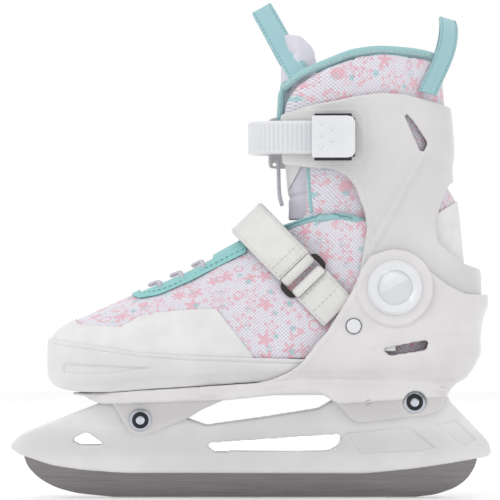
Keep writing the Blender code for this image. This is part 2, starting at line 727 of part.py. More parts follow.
def make_pivots():
    """Each side's pivot: a bolt through shell and cuff, a flat nut inside, and a snapped-on cap outside."""
    boss_out = pivot_surface(SHELL_OUT) + PIVOT_BOSS_HEIGHT
    nut_out = cuff_half(PIVOT[0] + PIVOT_NUT_RADIUS, PIVOT[1], -CUFF_WALL) - 2 * FIT_GAP
    nut_in = nut_out - PIVOT_NUT_THICKNESS
    head_out = boss_out - FIT_GAP
    shank = disc(PIVOT, PIVOT_RADIUS, nut_in, head_out - PIVOT_HEAD_HEIGHT + 0.3, 16)
    bolt = join(shank, disc(PIVOT, PIVOT_HEAD_RADIUS, head_out - PIVOT_HEAD_HEIGHT, head_out))
    nut = cut(disc(PIVOT, PIVOT_NUT_RADIUS, nut_in, nut_out), disc(PIVOT, PIVOT_RADIUS + HOLE_GAP, 0, FAR, 16))
    cap_in = boss_out + FIT_GAP
    cover = join(
        disc(PIVOT, PIVOT_CAP_RADIUS, cap_in, cap_in + PIVOT_CAP_HEIGHT * 0.5, 40),
        disc(PIVOT, PIVOT_CAP_RADIUS, cap_in + PIVOT_CAP_HEIGHT * 0.4, cap_in + PIVOT_CAP_HEIGHT, 40, PIVOT_CAP_RADIUS - 1.5),
    )
    dish = disc(PIVOT, 10.5, cap_in + PIVOT_CAP_HEIGHT - 1.2, FAR, 32)
    for name, mesh, material in (
        ("pivot_bolt", bolt, "chrome"), ("pivot_nut", nut, "chrome"), ("pivot_cap", cut(cover, dish), "white_plastic"),
    ):
        add(name + "_inner", mesh, material)
        add(name + "_outer", mirrored(mesh), material)


def make_size_button(parent):
    """The sprung button that frees the toe: its head in the shell's hole, a flange behind the wall and a stem."""
    shell_in = half_width(BUTTON[0], BUTTON[1], SHELL_IN)
    shell_out = half_width(BUTTON[0], BUTTON[1], SHELL_OUT)
    flange_out = shell_in - 2 * FIT_GAP
    flange_in = flange_out - BUTTON_FLANGE_THICKNESS
    head = disc(BUTTON, BUTTON_RADIUS, flange_out - 0.3, shell_out + BUTTON_PROUD, 20)
    flange = disc(BUTTON, BUTTON_RADIUS + BUTTON_FLANGE, flange_in, flange_out, 20)
    add("size_button", mirrored(join(head, flange)), "white_plastic", parent)
    spring_out, spring_in = flange_in - FIT_GAP, flange_in - FIT_GAP - 1.2
    washer = disc(BUTTON, BUTTON_RADIUS, spring_in, spring_out, 20)
    washer = cut(washer, disc(BUTTON, BUTTON_STEM_RADIUS, 0, FAR, 16))
    add("button_spring", mirrored(washer), "spring_steel")
    return BUTTON[0], -shell_out, BUTTON[1]


# ---------------------------------------------------------------- toe box, upper and liner

SPLIT_FRONT = -22.0
QUARTER_TOP = [(8, 157), (24.2, 163.4, 20), (37.7, 167.4, 20), (56, 168.6, 20), (72, 166, 20), (100, 162, 20), (150, 160)]


def make_toe(parent):
    rear = 58.0
    edge = [(-130, 97), (-107.5, 93.8, 20), (-64.4, 87.6, 60), (-35.8, 85.7, 40), (rear, 83.0), (rear, 55), (-130, 55)]
    form = cut(foot_form(TOE_OUT), foot_form(TOE_IN, past_rear=5.0))
    add("toe_shell", common(form, prism(rounded(edge), -FAR, FAR)), "white_plastic", parent)
    upper_edge = [(-130, 82), (SPLIT_FRONT, 82), (SPLIT_FRONT, 200), (-130, 200)]
    form = cut(foot_form(0.0), foot_form(UPPER_IN, past_rear=5.0))
    throat = prism(rounded([(-66, 90), (0, 90), (0, 200), (-66, 200)]), -THROAT_HALF_WIDTH, THROAT_HALF_WIDTH)
    add("toe_upper", cut(common(form, prism(rounded(upper_edge), -FAR, FAR)), throat), "printed_mesh", parent)
    tongue = cut(foot_form(-0.4), foot_form(UPPER_IN, past_rear=5.0))
    place = prism(rounded([(-65.4, 90), (SPLIT_FRONT, 90), (SPLIT_FRONT, 200), (-65.4, 200)]), 0.5 - THROAT_HALF_WIDTH, THROAT_HALF_WIDTH - 0.5)
    add("vamp_tongue", common(tongue, place), "white_vinyl", parent)


def rack_heights():
    return side_z(88.5), BUTTON[1] - BUTTON_RADIUS - BUTTON_FLANGE - FIT_GAP


def rack_face():
    """How far out the size rack's inner face lies."""
    return half_width(BUTTON[0], BUTTON[1], LAYER_GAP)


def make_size_rack(parent):
    """The toothed strip that the toe shell carries back inside the heel shell, one notch for each size."""
    notch = SIZE_STEP / 2 - 0.5
    start, end = BUTTON[0] - 4.5, BUTTON[0] + SIZE_STEP * SIZE_STEPS + 5.0
    low, high = rack_heights()
    base = rack_face()
    outline = [(start, low), (end, low), (end, high), (start, high)]
    strip = prism(outline, -base - RACK_THICKNESS, -base)
    places = [(BUTTON[0] + SIZE_STEP * step, high + notch * 0.3) for step in range(SIZE_STEPS + 1)]
    notches = [disc(place, notch, -FAR, 0, 16) for place in places]
    add("size_rack", cut(strip, *notches), "white_plastic", parent)


def liner_solid():
    outer = join(foot_form(LINER_OUT), heel_form(LINER_OUT, sole(side_x(135)) - LINER_OUT, side_z(125), front=30))
    outer = join(outer, liner_leg(0.0, 104, 282))
    inner = join(foot_form(LINER_IN, past_rear=5.0), heel_form(LINER_IN, sole(side_x(135)) - LINER_IN, side_z(127), front=28))
    return cut(outer, join(inner, liner_leg(-LINER_WALL, 98, 300)))


def make_liner(cuff_parent):
    solid = liner_solid()
    lower = rounded([(-140, 60), (150, 60), (150, 158), (100, 159), (60, 163), (30, 160), (8, 152), (-140, 152)])
    add("lower_liner", common(solid, prism(lower, -FAR, FAR)), "printed_mesh")
    upper = rounded(
        [(34, 185), (56, 177, 10), (90, 170, 10), (150, 169), (150, 246), (114.5, 255, 10), (108, 262.3, 5), (92.4, 264.8, 20),
         (78.6, 265.6, 20), (64.8, 264.2, 20), (46.5, 257.4, 20), (29, 247.4, 10), (22.4, 238, 8), (21, 226, 5), (34, 214, 5)]
    )
    throat = block(-20, side_x(45), -THROAT_HALF_WIDTH, THROAT_HALF_WIDTH, side_z(170), side_z(290))
    add("upper_liner", cut(common(solid, prism(upper, -FAR, FAR)), throat), "printed_mesh", cuff_parent)


def make_quarter():
    """The rear half of the fabric upper, round the ankle."""
    outer = join(foot_form(0.0), liner_leg(-LINER_OUT, 104, 190))
    inner = join(foot_form(UPPER_IN, past_rear=5.0), liner_leg(LINER_GAP / 2, 100, 200))
    wall = cut(outer, inner, heel_form(LINER_OUT + LAYER_GAP, side_z(60), side_z(126), front=30))
    outline = [(SPLIT_FRONT + 0.6, 86.6), (60, 86.0), (60, 76), (78, 76), (78, 165)] + QUARTER_TOP[-3:0:-1]
    outline += [(8, 154), (SPLIT_FRONT + 0.6, 150)]
    low, high = rack_heights()
    rack_room = block(side_x(20), side_x(90), -FAR, FIT_GAP - rack_face(), low - LAYER_GAP, high + LAYER_GAP)
    add("quarter_upper", cut(common(wall, prism(rounded(outline), -FAR, FAR)), rack_room), "printed_mesh")


def make_footbed():
    """The loose insole on the liner's floor."""
    drawn = ((-94, 13), (-86, 23), (-62, 32), (-30, 33.5), (0, 31), (30, 28), (70, 26.5), (100, 25), (114, 17), (120, 6))
    edge = smooth_curve([(side_x(x), y * WIDTH_STRETCH) for x, y in drawn])
    rings = []
    for place in (-93, -85, -75, -55, -30, 0, 35, 70, 100, 110, 116, 120):
        x = side_x(place)
        low = sole(x) - LINER_IN + FIT_GAP
        corners = ((-1, 0), (1, 0), (1, 1), (-1, 1))
        rings.append([(x, edge(x) * a, low + FOOTBED_THICKNESS * b) for a, b in corners])
    add("footbed", loft(rings), "padding")


def make_tongue(parent):
    shape = cut(liner_leg(-LINER_WALL - 2.6, 184, 284), liner_leg(-LINER_WALL - 2.6 - TONGUE_THICKNESS, 180, 290))
    outline = rounded([(10, 186), (46, 186), (46, 256), (38, 270, 8), (31, 277, 6), (21, 278.6, 4), (10, 270)])
    place = prism(outline, -TONGUE_HALF_WIDTH, TONGUE_HALF_WIDTH)
    add("tongue", common(shape, place), "padding", parent)


def make_binding(parent):
    """The bound edge round the collar, following the liner's top edge a little above it."""
    top = side_curve((22, 246.5), (30, 253), (46.5, 260.6), (64.8, 266.9), (78.6, 268.3), (92.4, 267.5), (108, 265.3), (115, 261.5))
    path = []
    for step in range(31):
        angle = math.radians(-152 + 304 * step / 30)
        middle = side_z(262)
        along, across = math.cos(angle), math.sin(angle)
        reach = (leg_rear(middle) - LEG_MIDDLE if along > 0 else LEG_MIDDLE - leg_front(middle)) - LINER_WALL / 2
        x = LEG_MIDDLE + reach * math.copysign(abs(along) ** (2 / LEG_POWER), along)
        y = (leg_width(middle) - LINER_WALL / 2) * math.copysign(abs(across) ** (2 / LEG_POWER), across)
        path.append((x, y, top(x) + FIT_GAP))
    add("collar_binding", tube(path, BINDING_RADIUS), "teal_webbing", parent)


def make_loop(name, spine, parent):
    """A pull loop: tape with a leg on each side, folded over at its top. spine is drawn as (x, y, z), foot to top."""
    leg = along_points([(side_x(x), -y * WIDTH_STRETCH, side_z(z)) for x, y, z in spine], 9)
    path = leg + [(x, -y, z) for x, y, z in reversed(leg[:-1])]
    start, end = Vector(leg[0]), Vector(leg[-1])
    rise = Vector((end.x - start.x, 0, end.z - start.z)).normalized()
    across = Vector((rise.z, 0, -rise.x))
    add(name, ribbon(path, across, LOOP_WIDTH, LOOP_THICKNESS), "teal_webbing", parent)


FRONT_LOOP = ((17.5, 7, 282.5), (12, 5.8, 288.4), (7.5, 3.2, 293), (6.0, 0, 294.6))
REAR_LOOP = ((106.2, 38.5, 242.5), (109.8, 35, 250), (115.0, 28.5, 261), (119.2, 19, 274), (120.0, 9, 284), (119.4, 0, 287.6))


# ---------------------------------------------------------------- cuff

CUFF_EDGE = [
    (37.2, 235.4, 20), (52, 238.2, 30), (64.8, 241, 30), (78.6, 242.6, 30), (92.4, 242, 30), (110.8, 237.2, 20), (130, 231.8),
    (130, 190), (120.1, 188.8, 3), (114.3, 175, 20), (111, 165, 10), (112.6, 154.4, 8), (119.4, 147.5, 10), (128.5, 140.7, 10),
    (146, 134.6), (146, 107), (118, 107, 10), (100, 110, 8), (87, 106.5, 16), (70, 112, 10), (65.4, 125, 10), (65.2, 132.6, 20),
    (68.4, 150.7, 30), (70, 161, 20), (69, 170.2, 20), (63, 186.8, 20), (57.5, 193.2, 8), (50, 197.2, 6), (37.3, 197.8, 10),
]
OUTER_TAB = [(19.6, 199.6, 3), (18.4, 229.6, 3)]
INNER_TAB = [(11.4, 198.2, 3), (11.4, 228.4, 3)]
CUFF_VENT = [(90.6, 233.4, 2), (98, 225.4, 10), (106.6, 212.6, 3), (103, 205.4, 1.5)]


def make_cuff(parent):
    wall = cut(cuff_leg(0.0, 104, 250), cuff_leg(-CUFF_WALL, 100, 256))
    outer_half = prism(rounded(CUFF_EDGE + OUTER_TAB), -FAR, 0.5)
    inner_half = prism(rounded(CUFF_EDGE + INNER_TAB), 0, FAR)
    cuff = common(wall, join(outer_half, inner_half))
    holes = [disc(PIVOT, PIVOT_RADIUS + HOLE_GAP, -FAR, FAR, 16), prism(rounded(CUFF_VENT), -FAR, FAR)]
    add("cuff", cut(cuff, *holes), "white_plastic", parent)


# ---------------------------------------------------------------- ladder strap and buckle

STRAP_LOW, STRAP_HIGH = side_z(206), side_z(206) + LADDER_WIDTH
STRAP_MIDDLE = (STRAP_LOW + STRAP_HIGH) / 2
CUFF_SIDE = cuff_width(STRAP_HIGH + BUCKLE_EAR + 3 * FIT_GAP)
ANCHOR = (side_x(60), CUFF_SIDE + STRAP_CLEARANCE + 0.6 + LADDER_THICKNESS / 2)
BASE_RADIUS = ANCHOR[1] + CUFF_SIDE + STRAP_CLEARANCE + 0.4
STRAP_RADIUS = BASE_RADIUS + BUCKLE_PLATE + STRAP_CLEARANCE + LADDER_THICKNESS / 2
STRAP_OUT = STRAP_RADIUS + LADDER_THICKNESS / 2 + LADDER_RIB_HEIGHT
PAWL_RADIUS = STRAP_OUT + STRAP_CLEARANCE + 1.2
EAR_OUT = PAWL_RADIUS + 1.2
LEVER_PIN_AT = EAR_OUT - 0.8
LEVER_RADIUS = LEVER_PIN_AT + LUG_RADIUS + FIT_GAP
BUCKLE_FRONT, BUCKLE_REAR = side_x(50) - BUCKLE_LENGTH / 2, side_x(50) + BUCKLE_LENGTH / 2
EAR_LOW, EAR_HIGH = STRAP_LOW - FIT_GAP, STRAP_HIGH + FIT_GAP


def arc_y(radius, x):
    """Where an arc round the strap's anchor passes, on the skate's outer side."""
    return ANCHOR[1] - math.sqrt(radius**2 - (x - ANCHOR[0]) ** 2)


LEVER_PIN = (BUCKLE_FRONT + LUG_RADIUS + 0.6, arc_y(LEVER_PIN_AT, BUCKLE_FRONT + LUG_RADIUS + 0.6))
PAWL_PIN = (BUCKLE_FRONT + 15.5, arc_y(PAWL_RADIUS, BUCKLE_FRONT + 15.5))


def arc_plate(inner, outer, x0, x1, z0, z1, steps=6):
    """A plate bent round the strap's anchor, so that the strap slides along it as it swings out."""
    xs = [x0 + (x1 - x0) * i / steps for i in range(steps + 1)]
    edge = [(x, arc_y(inner, x)) for x in xs] + [(x, arc_y(outer, x)) for x in reversed(xs)]
    return loft([[(x, y, z) for x, y in edge] for z in (z0, z1)])


def make_ladder_strap(parent):
    tail = side_x(61)
    xs = [tail - (tail - side_x(22)) * i / 8 for i in range(9)]
    slide = [(x, arc_y(STRAP_RADIUS, x)) for x in xs]
    width = CUFF_SIDE / 43.2
    bend = [(10, -31.8), (3.2, -18), (0.9, 0), (3.6, 19), (11, 34.3), (24, 42.6), (42, 45.0)]
    route = slide[:-1] + along_points([slide[-1]] + [(side_x(x), y * width) for x, y in bend] + [ANCHOR], 22)
    path = [(x, y, STRAP_MIDDLE) for x, y in route]
    strap = ribbon(path, (0, 0, 1), LADDER_WIDTH, LADDER_THICKNESS)
    knuckle = rod(ANCHOR[0], ANCHOR[1], LADDER_THICKNESS / 2, STRAP_LOW, STRAP_HIGH)
    add("ladder_strap", join(strap, knuckle), "white_plastic", parent)


def make_strap_anchor(parent):
    front = ANCHOR[0] + LADDER_THICKNESS / 2 + 1.0
    low, high = STRAP_LOW + 1, STRAP_HIGH - 1
    plate_in = ANCHOR[1] - LADDER_THICKNESS / 2
    plate = block(front, front + 16, plate_in, plate_in + LADDER_THICKNESS, low, high)
    add("strap_anchor", plate, "white_plastic", parent)
    head_in = plate_in + LADDER_THICKNESS + FIT_GAP
    rivet = disc((front + 9, STRAP_MIDDLE), 4.5, head_in, head_in + 1.6, 24, 3.4)
    add("anchor_rivet", rivet, "chrome", parent)


def make_buckle(cuff_parent, lever_parent, pawl_parent):
    """The buckle on the outer side: a steel channel with two ears, a lever on one pin and a pawl on another."""
    ears = ((EAR_LOW - BUCKLE_EAR, EAR_LOW), (EAR_HIGH, EAR_HIGH + BUCKLE_EAR))
    bottom, top = ears[0][0], ears[1][1]
    front = BUCKLE_FRONT + 0.8
    shapes = [arc_plate(BASE_RADIUS + 0.2, EAR_OUT, front, BUCKLE_REAR, *ear) for ear in ears]
    shapes += [rod(*LEVER_PIN, LUG_RADIUS, *ear) for ear in ears]
    plate = arc_plate(BASE_RADIUS, BASE_RADIUS + BUCKLE_PLATE, front, BUCKLE_REAR, bottom, top)
    holes = []
    for name, place, radius in (("lever_pin", LEVER_PIN, LEVER_PIN_RADIUS), ("pawl_pin", PAWL_PIN, PAWL_PIN_RADIUS)):
        holes.append(rod(*place, radius + FIT_GAP, bottom - 5, top + 5))
        add(name, rod(*place, radius, bottom - PIN_PROUD, top + PIN_PROUD), "chrome", cuff_parent)
    add("buckle_base", cut(join(plate, *shapes), *holes), "buckle_steel", cuff_parent)
    low, high = EAR_LOW + FIT_GAP, EAR_HIGH - FIT_GAP
    outer = LEVER_RADIUS + LEVER_THICKNESS
    cover = arc_plate(LEVER_RADIUS, outer, BUCKLE_FRONT, BUCKLE_REAR, bottom - LEVER_OVERHANG / 2, top + LEVER_OVERHANG)
    foot = arc_plate(LEVER_PIN_AT, LEVER_RADIUS + 0.5, LEVER_PIN[0] - 1.4, LEVER_PIN[0] + 1.4, low, high, 2)
    hub = rod(*LEVER_PIN, LUG_RADIUS, low, high)
    bore = rod(*LEVER_PIN, LEVER_PIN_RADIUS + FIT_GAP, low - 5, high + 5)
    add("buckle_lever", cut(join(cover, foot, hub), bore), "white_plastic", lever_parent)
    x, y = PAWL_PIN
    tip = x - PAWL_REACH
    tip_y = arc_y(STRAP_OUT + FIT_GAP, tip)
    wedge = [(tip, tip_y), (tip, tip_y - 0.6), (x - 0.4, y - 1.2), (x + 1.2, y - 0.7), (x + 1.2, y + 0.7), (x - 0.2, y + 1.2)]
    pawl = loft([[(px, py, z) for px, py in wedge] for z in (low + 2, high - 2)])
    bore = rod(*PAWL_PIN, PAWL_PIN_RADIUS + 0.15, low, high, 12)
    add("buckle_pawl", cut(pawl, bore), "buckle_steel", pawl_parent)


# ---------------------------------------------------------------- instep strap

STRAP_TOP = Vector((side_x(-2.4), 0, side_z(169.0)))
STRAP_DOWN = Vector((side_x(53.4) - side_x(-2.4), 0, side_z(111.3) - side_z(169.0))).normalized()
STRAP_ACROSS = Vector((-STRAP_DOWN.z, 0, STRAP_DOWN.x))
RING_DEPTH = 49.5
RING_Y = -38.6
UPPER_BAR, LOWER_BAR = RING_DEPTH - RING_HALF_WIDTH, RING_DEPTH + RING_HALF_WIDTH
BAR_CLEAR = RING_BAR_RADIUS + 0.6


def strap_point(y, depth):
    """A point on the strap's middle line: y across the skate, depth below the strap's top."""
    return STRAP_TOP + STRAP_DOWN * depth + Vector((0, y * WIDTH_STRETCH, 0))


def make_instep_strap(flap_parent):
    top_run = [(-37.2, UPPER_BAR - BAR_CLEAR), (-36.3, 36), (-33.0, 25), (-26, 13.5), (-14, 5.6), (0, 3.2)]
    far_side = [(14, 5.6), (26, 13.5), (33.0, 25), (36.8, 40), (38.2, 56), (38.7, 70), (38.9, 80)]
    run = along_points(top_run + far_side, 30)
    add("instep_strap", ribbon([strap_point(*p) for p in run], STRAP_ACROSS, INSTEP_WIDTH, INSTEP_THICKNESS), "white_vinyl")
    gap = INSTEP_THICKNESS + 0.5
    flap = [(-37.3 - gap, UPPER_BAR - BAR_CLEAR), (-36.4 - gap, 35.5), (-33 - gap, 23.5), (-27, 11.6), (-14.4, 3.4), (0, 0.9), (11, 2.3)]
    path = [strap_point(*p) for p in along_points(flap, 20)]
    add("instep_flap", ribbon(path, STRAP_ACROSS, INSTEP_WIDTH, INSTEP_THICKNESS), "white_vinyl", flap_parent)
    tab = [(RING_Y, LOWER_BAR + BAR_CLEAR), (-38.7, 68), (-38.6, 80)]
    add("ring_tab", ribbon([strap_point(*p) for p in along_points(tab, 8)], STRAP_ACROSS, INSTEP_WIDTH, INSTEP_THICKNESS), "white_vinyl")


def make_ring():
    """The black ring between the strap and its tab: a rounded bar bent into a long loop."""
    centre, path = strap_point(RING_Y, RING_DEPTH), []
    for step in range(24):
        angle = 2 * math.pi * step / 24
        a, b = math.cos(angle), math.sin(angle)
        path.append(
            centre
            + STRAP_ACROSS * (RING_HALF_LENGTH * math.copysign(abs(a) ** 0.5, a))
            + STRAP_DOWN * (RING_HALF_WIDTH * math.copysign(abs(b) ** 0.5, b))
        )
    rings = []
    for i, point in enumerate(path):
        along = (path[(i + 1) % 24] - path[i - 1]).normalized()
        out = along.cross(Vector((0, 1, 0))).normalized()
        angles = [2 * math.pi * k / 8 for k in range(8)]
        rings.append([point + (Vector((0, 1, 0)) * math.sin(a) + out * math.cos(a)) * RING_BAR_RADIUS for a in angles])
    points = [p for ring in rings for p in ring]
    faces = [
        (i * 8 + k, i * 8 + (k + 1) % 8, (i + 1) % 24 * 8 + (k + 1) % 8, (i + 1) % 24 * 8 + k)
        for i in range(24)
        for k in range(8)
    ]
    add("strap_ring", mesh_of(points, faces), "black_plastic")


def make_laces(toe_parent, cuff_parent):
    """The laces, which are held all the way: rows over the vamp, and the tied-off run up the tongue."""
    for number, x in enumerate((-60, -47, -34)):
        row = []
        for share in (-1, -0.5, 0, 0.5, 1):
            back = side_x(x + 5 * share**2)
            row.append((back, 11.0 * WIDTH_STRETCH * share, ridge(back) + LACE_RADIUS + FIT_GAP - 0.4 * share**2))
        add(f"lace_row_{number + 1}", tube(along_points(row, 9), LACE_RADIUS, 6), "lace", toe_parent)
    front = [(19.4, 189), (18.3, 193), (17.4, 198), (16.9, 203)]
    path = [(side_x(x) - 3.0, -6.0, side_z(z)) for x, z in front]
    add("lace_end", tube(along_points(path, 7), LACE_RADIUS, 6), "lace", cuff_parent)


def build():
    clear_scene()
    cuff_pivot = joint_empty("cuff_pivot_axis", PIVOT[0], 0, PIVOT[1])
    toe_slide = joint_empty("toe_slide_axis", 0, 0, 0)
    make_blade()
    make_blade_holder()
    make_bolt("front", FRONT_BOLT)
    make_bolt("rear", REAR_BOLT)
    make_chassis()
    button_axis = joint_empty("size_button_axis", BUTTON[0], 0, BUTTON[1])
    make_size_button(button_axis)
    make_toe(toe_slide)
    make_size_rack(toe_slide)
    make_liner(cuff_pivot)
    make_quarter()
    make_footbed()
    make_tongue(cuff_pivot)
    make_binding(cuff_pivot)
    make_loop("front_pull_loop", FRONT_LOOP, cuff_pivot)
    make_loop("rear_pull_loop", REAR_LOOP, cuff_pivot)
    make_cuff(cuff_pivot)
    make_pivots()
    strap_axis = joint_empty("strap_swing_axis", ANCHOR[0], ANCHOR[1], STRAP_MIDDLE)
    make_ladder_strap(strap_axis)
    make_strap_anchor(cuff_pivot)
    lever_axis = joint_empty("buckle_lever_axis", *LEVER_PIN, STRAP_MIDDLE)
    pawl_axis = joint_empty("buckle_pawl_axis", *PAWL_PIN, STRAP_MIDDLE)
    make_buckle(cuff_pivot, lever_axis, pawl_axis)
    flap_axis = joint_empty("instep_flap_axis", *strap_point(RING_Y, UPPER_BAR))
    make_instep_strap(flap_axis)
    make_ring()
    make_laces(toe_slide, cuff_pivot)


SURFACES = make_materials()
build()
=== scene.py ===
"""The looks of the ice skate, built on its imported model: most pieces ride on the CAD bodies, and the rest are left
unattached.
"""

import math

import bmesh
import bpy
import numpy as np
from mathutils import Matrix, Vector
from mathutils.bvhtree import BVHTree


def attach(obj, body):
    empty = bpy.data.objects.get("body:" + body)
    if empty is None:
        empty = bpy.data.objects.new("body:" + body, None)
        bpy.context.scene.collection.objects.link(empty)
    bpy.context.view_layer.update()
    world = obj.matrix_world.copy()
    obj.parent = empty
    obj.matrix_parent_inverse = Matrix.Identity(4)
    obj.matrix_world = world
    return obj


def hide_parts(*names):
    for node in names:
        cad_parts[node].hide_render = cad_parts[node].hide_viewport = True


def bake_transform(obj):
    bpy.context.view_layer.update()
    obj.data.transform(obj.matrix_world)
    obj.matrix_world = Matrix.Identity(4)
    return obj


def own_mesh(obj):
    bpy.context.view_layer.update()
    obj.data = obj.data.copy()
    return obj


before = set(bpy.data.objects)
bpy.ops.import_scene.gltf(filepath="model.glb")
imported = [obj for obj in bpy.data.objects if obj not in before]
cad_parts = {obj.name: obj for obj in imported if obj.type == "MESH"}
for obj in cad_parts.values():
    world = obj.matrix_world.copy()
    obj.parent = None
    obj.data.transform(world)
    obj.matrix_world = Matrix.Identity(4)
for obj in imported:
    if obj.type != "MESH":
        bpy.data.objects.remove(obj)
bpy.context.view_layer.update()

MM = 0.001

# ---------------------------------------------------------------- camera, lights and floor


# The camera's lens and sensor in millimetres, and places and sizes on the stage in metres
CAMERA_LENS, CAMERA_SENSOR = 480.0, 36.0
CAMERA_REACH = 50.0
CAMERA_PLACE = (0.0003, -4.02, 0.1488)
LIGHT_TARGET = (0, 0, 0.12)
FLOOR_HALF, FLOOR_TOP = 3.0, -0.0004
FLOOR_TONE, FLOOR_ROUGHNESS = 0.95, 0.9

# name, place, size, power
LIGHTS = (
    ("key", (-0.9, -1.3, 1.7), 0.9, 7.0),
    ("fill", (1.3, -1.2, 0.7), 1.2, 1.5),
    ("rear", (0.4, 1.4, 1.6), 1.2, 5.0),
    ("front_edge", (-1.6, 0.2, 0.5), 0.8, 1.5),
)


def make_stage():
    """A camera straight from the skate's outer side, a pale floor and four soft lights."""
    scene = bpy.context.scene
    camera = bpy.data.objects.new("camera", bpy.data.cameras.new("camera"))
    camera.data.lens, camera.data.sensor_width = CAMERA_LENS, CAMERA_SENSOR
    camera.data.clip_end = CAMERA_REACH
    camera.location = CAMERA_PLACE
    camera.rotation_euler = (math.radians(90), 0, 0)
    scene.collection.objects.link(camera)
    scene.camera = camera
    scene.view_settings.view_transform = "Standard"
    world = bpy.data.worlds.new("studio")
    scene.world = world
    world.use_nodes = True
    background = world.node_tree.nodes["Background"]
    background.inputs["Color"].default_value = (1, 1, 1, 1)
    background.inputs["Strength"].default_value = 1.0
    for name, place, size, power in LIGHTS:
        light = bpy.data.objects.new(name, bpy.data.lights.new(name, "AREA"))
        light.data.size, light.data.energy = size, power
        light.location = place
        light.rotation_euler = (Vector(LIGHT_TARGET) - Vector(place)).to_track_quat("-Z", "Y").to_euler()
        light.visible_camera = False
        scene.collection.objects.link(light)
    mesh = bpy.data.meshes.new("floor")
    side, top = FLOOR_HALF, FLOOR_TOP
    mesh.from_pydata(
        [(-side, -side, top), (side, -side, top), (side, side, top), (-side, side, top)], [], [(0, 1, 2, 3)]
    )
    floor = bpy.data.objects.new("floor", mesh)
    scene.collection.objects.link(floor)
    paint = bpy.data.materials.new("floor")
    paint.use_nodes = True
    shader = paint.node_tree.nodes["Principled BSDF"]
    shader.inputs["Base Color"].default_value = (FLOOR_TONE, FLOOR_TONE, FLOOR_TONE, 1)
    shader.inputs["Roughness"].default_value = FLOOR_ROUGHNESS
    mesh.materials.append(paint)


make_stage()

# Driving sizes of the boot and of the runner under it
BOOT_LENGTH = 266.0
BOOT_WIDTH = 96.0
DECK_HEIGHT = 60.0
COLLAR_HEIGHT = 270.0

# What the side view is drawn for
DRAWN_LENGTH = 266.0
DRAWN_WIDTH = 96.0
DRAWN_DECK = 60.0
DRAWN_COLLAR = 270.0

# Walls of the layers, and the clearances between them
UPPER_WALL = 2.4
LINER_WALL = 4.0
TOE_SHELL_WALL = 2.6
HEEL_SHELL_WALL = 3.0
CUFF_WALL = 2.9
LAYER_GAP = 0.4
LINER_GAP = 0.9
FIT_GAP = 0.3
FOOTBED_THICKNESS = 4.0
TONGUE_THICKNESS = 6.0
TONGUE_HALF_WIDTH = 24.0
THROAT_HALF_WIDTH = 15.0

# Runner
BLADE_THICKNESS = 3.5
HOLDER_RAIL_WIDTH = 10.0
HOLDER_POST_WIDTH = 30.0
CHEEK_WALL = 4.4
BOLT_RADIUS = 3.0
BOLT_HEAD_RADIUS = 5.0
BOLT_HEAD_HEIGHT = 2.6
WASHER_RADIUS = 6.7
WASHER_THICKNESS = 1.0
HOLE_GAP = 0.35

# Cuff pivot
PIVOT_RADIUS = 4.0
PIVOT_HEAD_RADIUS = 8.0
PIVOT_HEAD_HEIGHT = 1.6
PIVOT_CAP_RADIUS = 16.3
PIVOT_CAP_HEIGHT = 3.2
PIVOT_BOSS_RADIUS = 22.7
PIVOT_BOSS_HEIGHT = 1.2
PIVOT_NUT_RADIUS = 7.0
PIVOT_NUT_THICKNESS = 1.1

# Size-release button
BUTTON_RADIUS = 4.3
BUTTON_PROUD = 0.9
BUTTON_FLANGE = 1.0
BUTTON_FLANGE_THICKNESS = 0.8
BUTTON_STEM_RADIUS = 2.3
SIZE_STEP = 6.67
SIZE_STEPS = 3
RACK_THICKNESS = 1.5

# Ladder strap and its buckle
LADDER_WIDTH = 20.0
LADDER_THICKNESS = 2.4
LADDER_RIB_PITCH = 3.0
LADDER_RIB_HEIGHT = 0.5
BUCKLE_PLATE = 1.2
BUCKLE_EAR = 1.3
LEVER_THICKNESS = 2.4
LEVER_PIN_RADIUS = 1.2
PAWL_PIN_RADIUS = 0.8
PAWL_REACH = 5.0
LUG_RADIUS = 2.2
PIN_PROUD = 0.6
BUCKLE_LENGTH = 25.8
LEVER_OVERHANG = 1.2
STRAP_CLEARANCE = 0.5

# Instep strap
INSTEP_WIDTH = 25.0
INSTEP_THICKNESS = 1.8
RING_BAR_RADIUS = 1.7
RING_HALF_LENGTH = 13.6
RING_HALF_WIDTH = 5.4

# Trim
BINDING_RADIUS = 2.0
LOOP_WIDTH = 11.0
LOOP_THICKNESS = 1.5
LACE_RADIUS = 1.2

# Offsets of the boot's layers from the outside of the upper
UPPER_IN = -UPPER_WALL
LINER_OUT = UPPER_IN - LINER_GAP
LINER_IN = LINER_OUT - LINER_WALL
TOE_IN = LAYER_GAP
TOE_OUT = TOE_IN + TOE_SHELL_WALL
SHELL_IN = TOE_OUT + LAYER_GAP
SHELL_OUT = SHELL_IN + HEEL_SHELL_WALL

LENGTH_STRETCH = BOOT_LENGTH / DRAWN_LENGTH
WIDTH_STRETCH = BOOT_WIDTH / DRAWN_WIDTH
RUNNER_STRETCH = DECK_HEIGHT / DRAWN_DECK
BOOT_STRETCH = (COLLAR_HEIGHT - DECK_HEIGHT) / (DRAWN_COLLAR - DRAWN_DECK)


# ---------------------------------------------------------------- places and curves


def side_x(x):
    return x * LENGTH_STRETCH


def side_z(z):
    if z < DRAWN_DECK:
        return z * RUNNER_STRETCH
    return DECK_HEIGHT + (z - DRAWN_DECK) * BOOT_STRETCH


def side(x, z):
    return side_x(x), side_z(z)


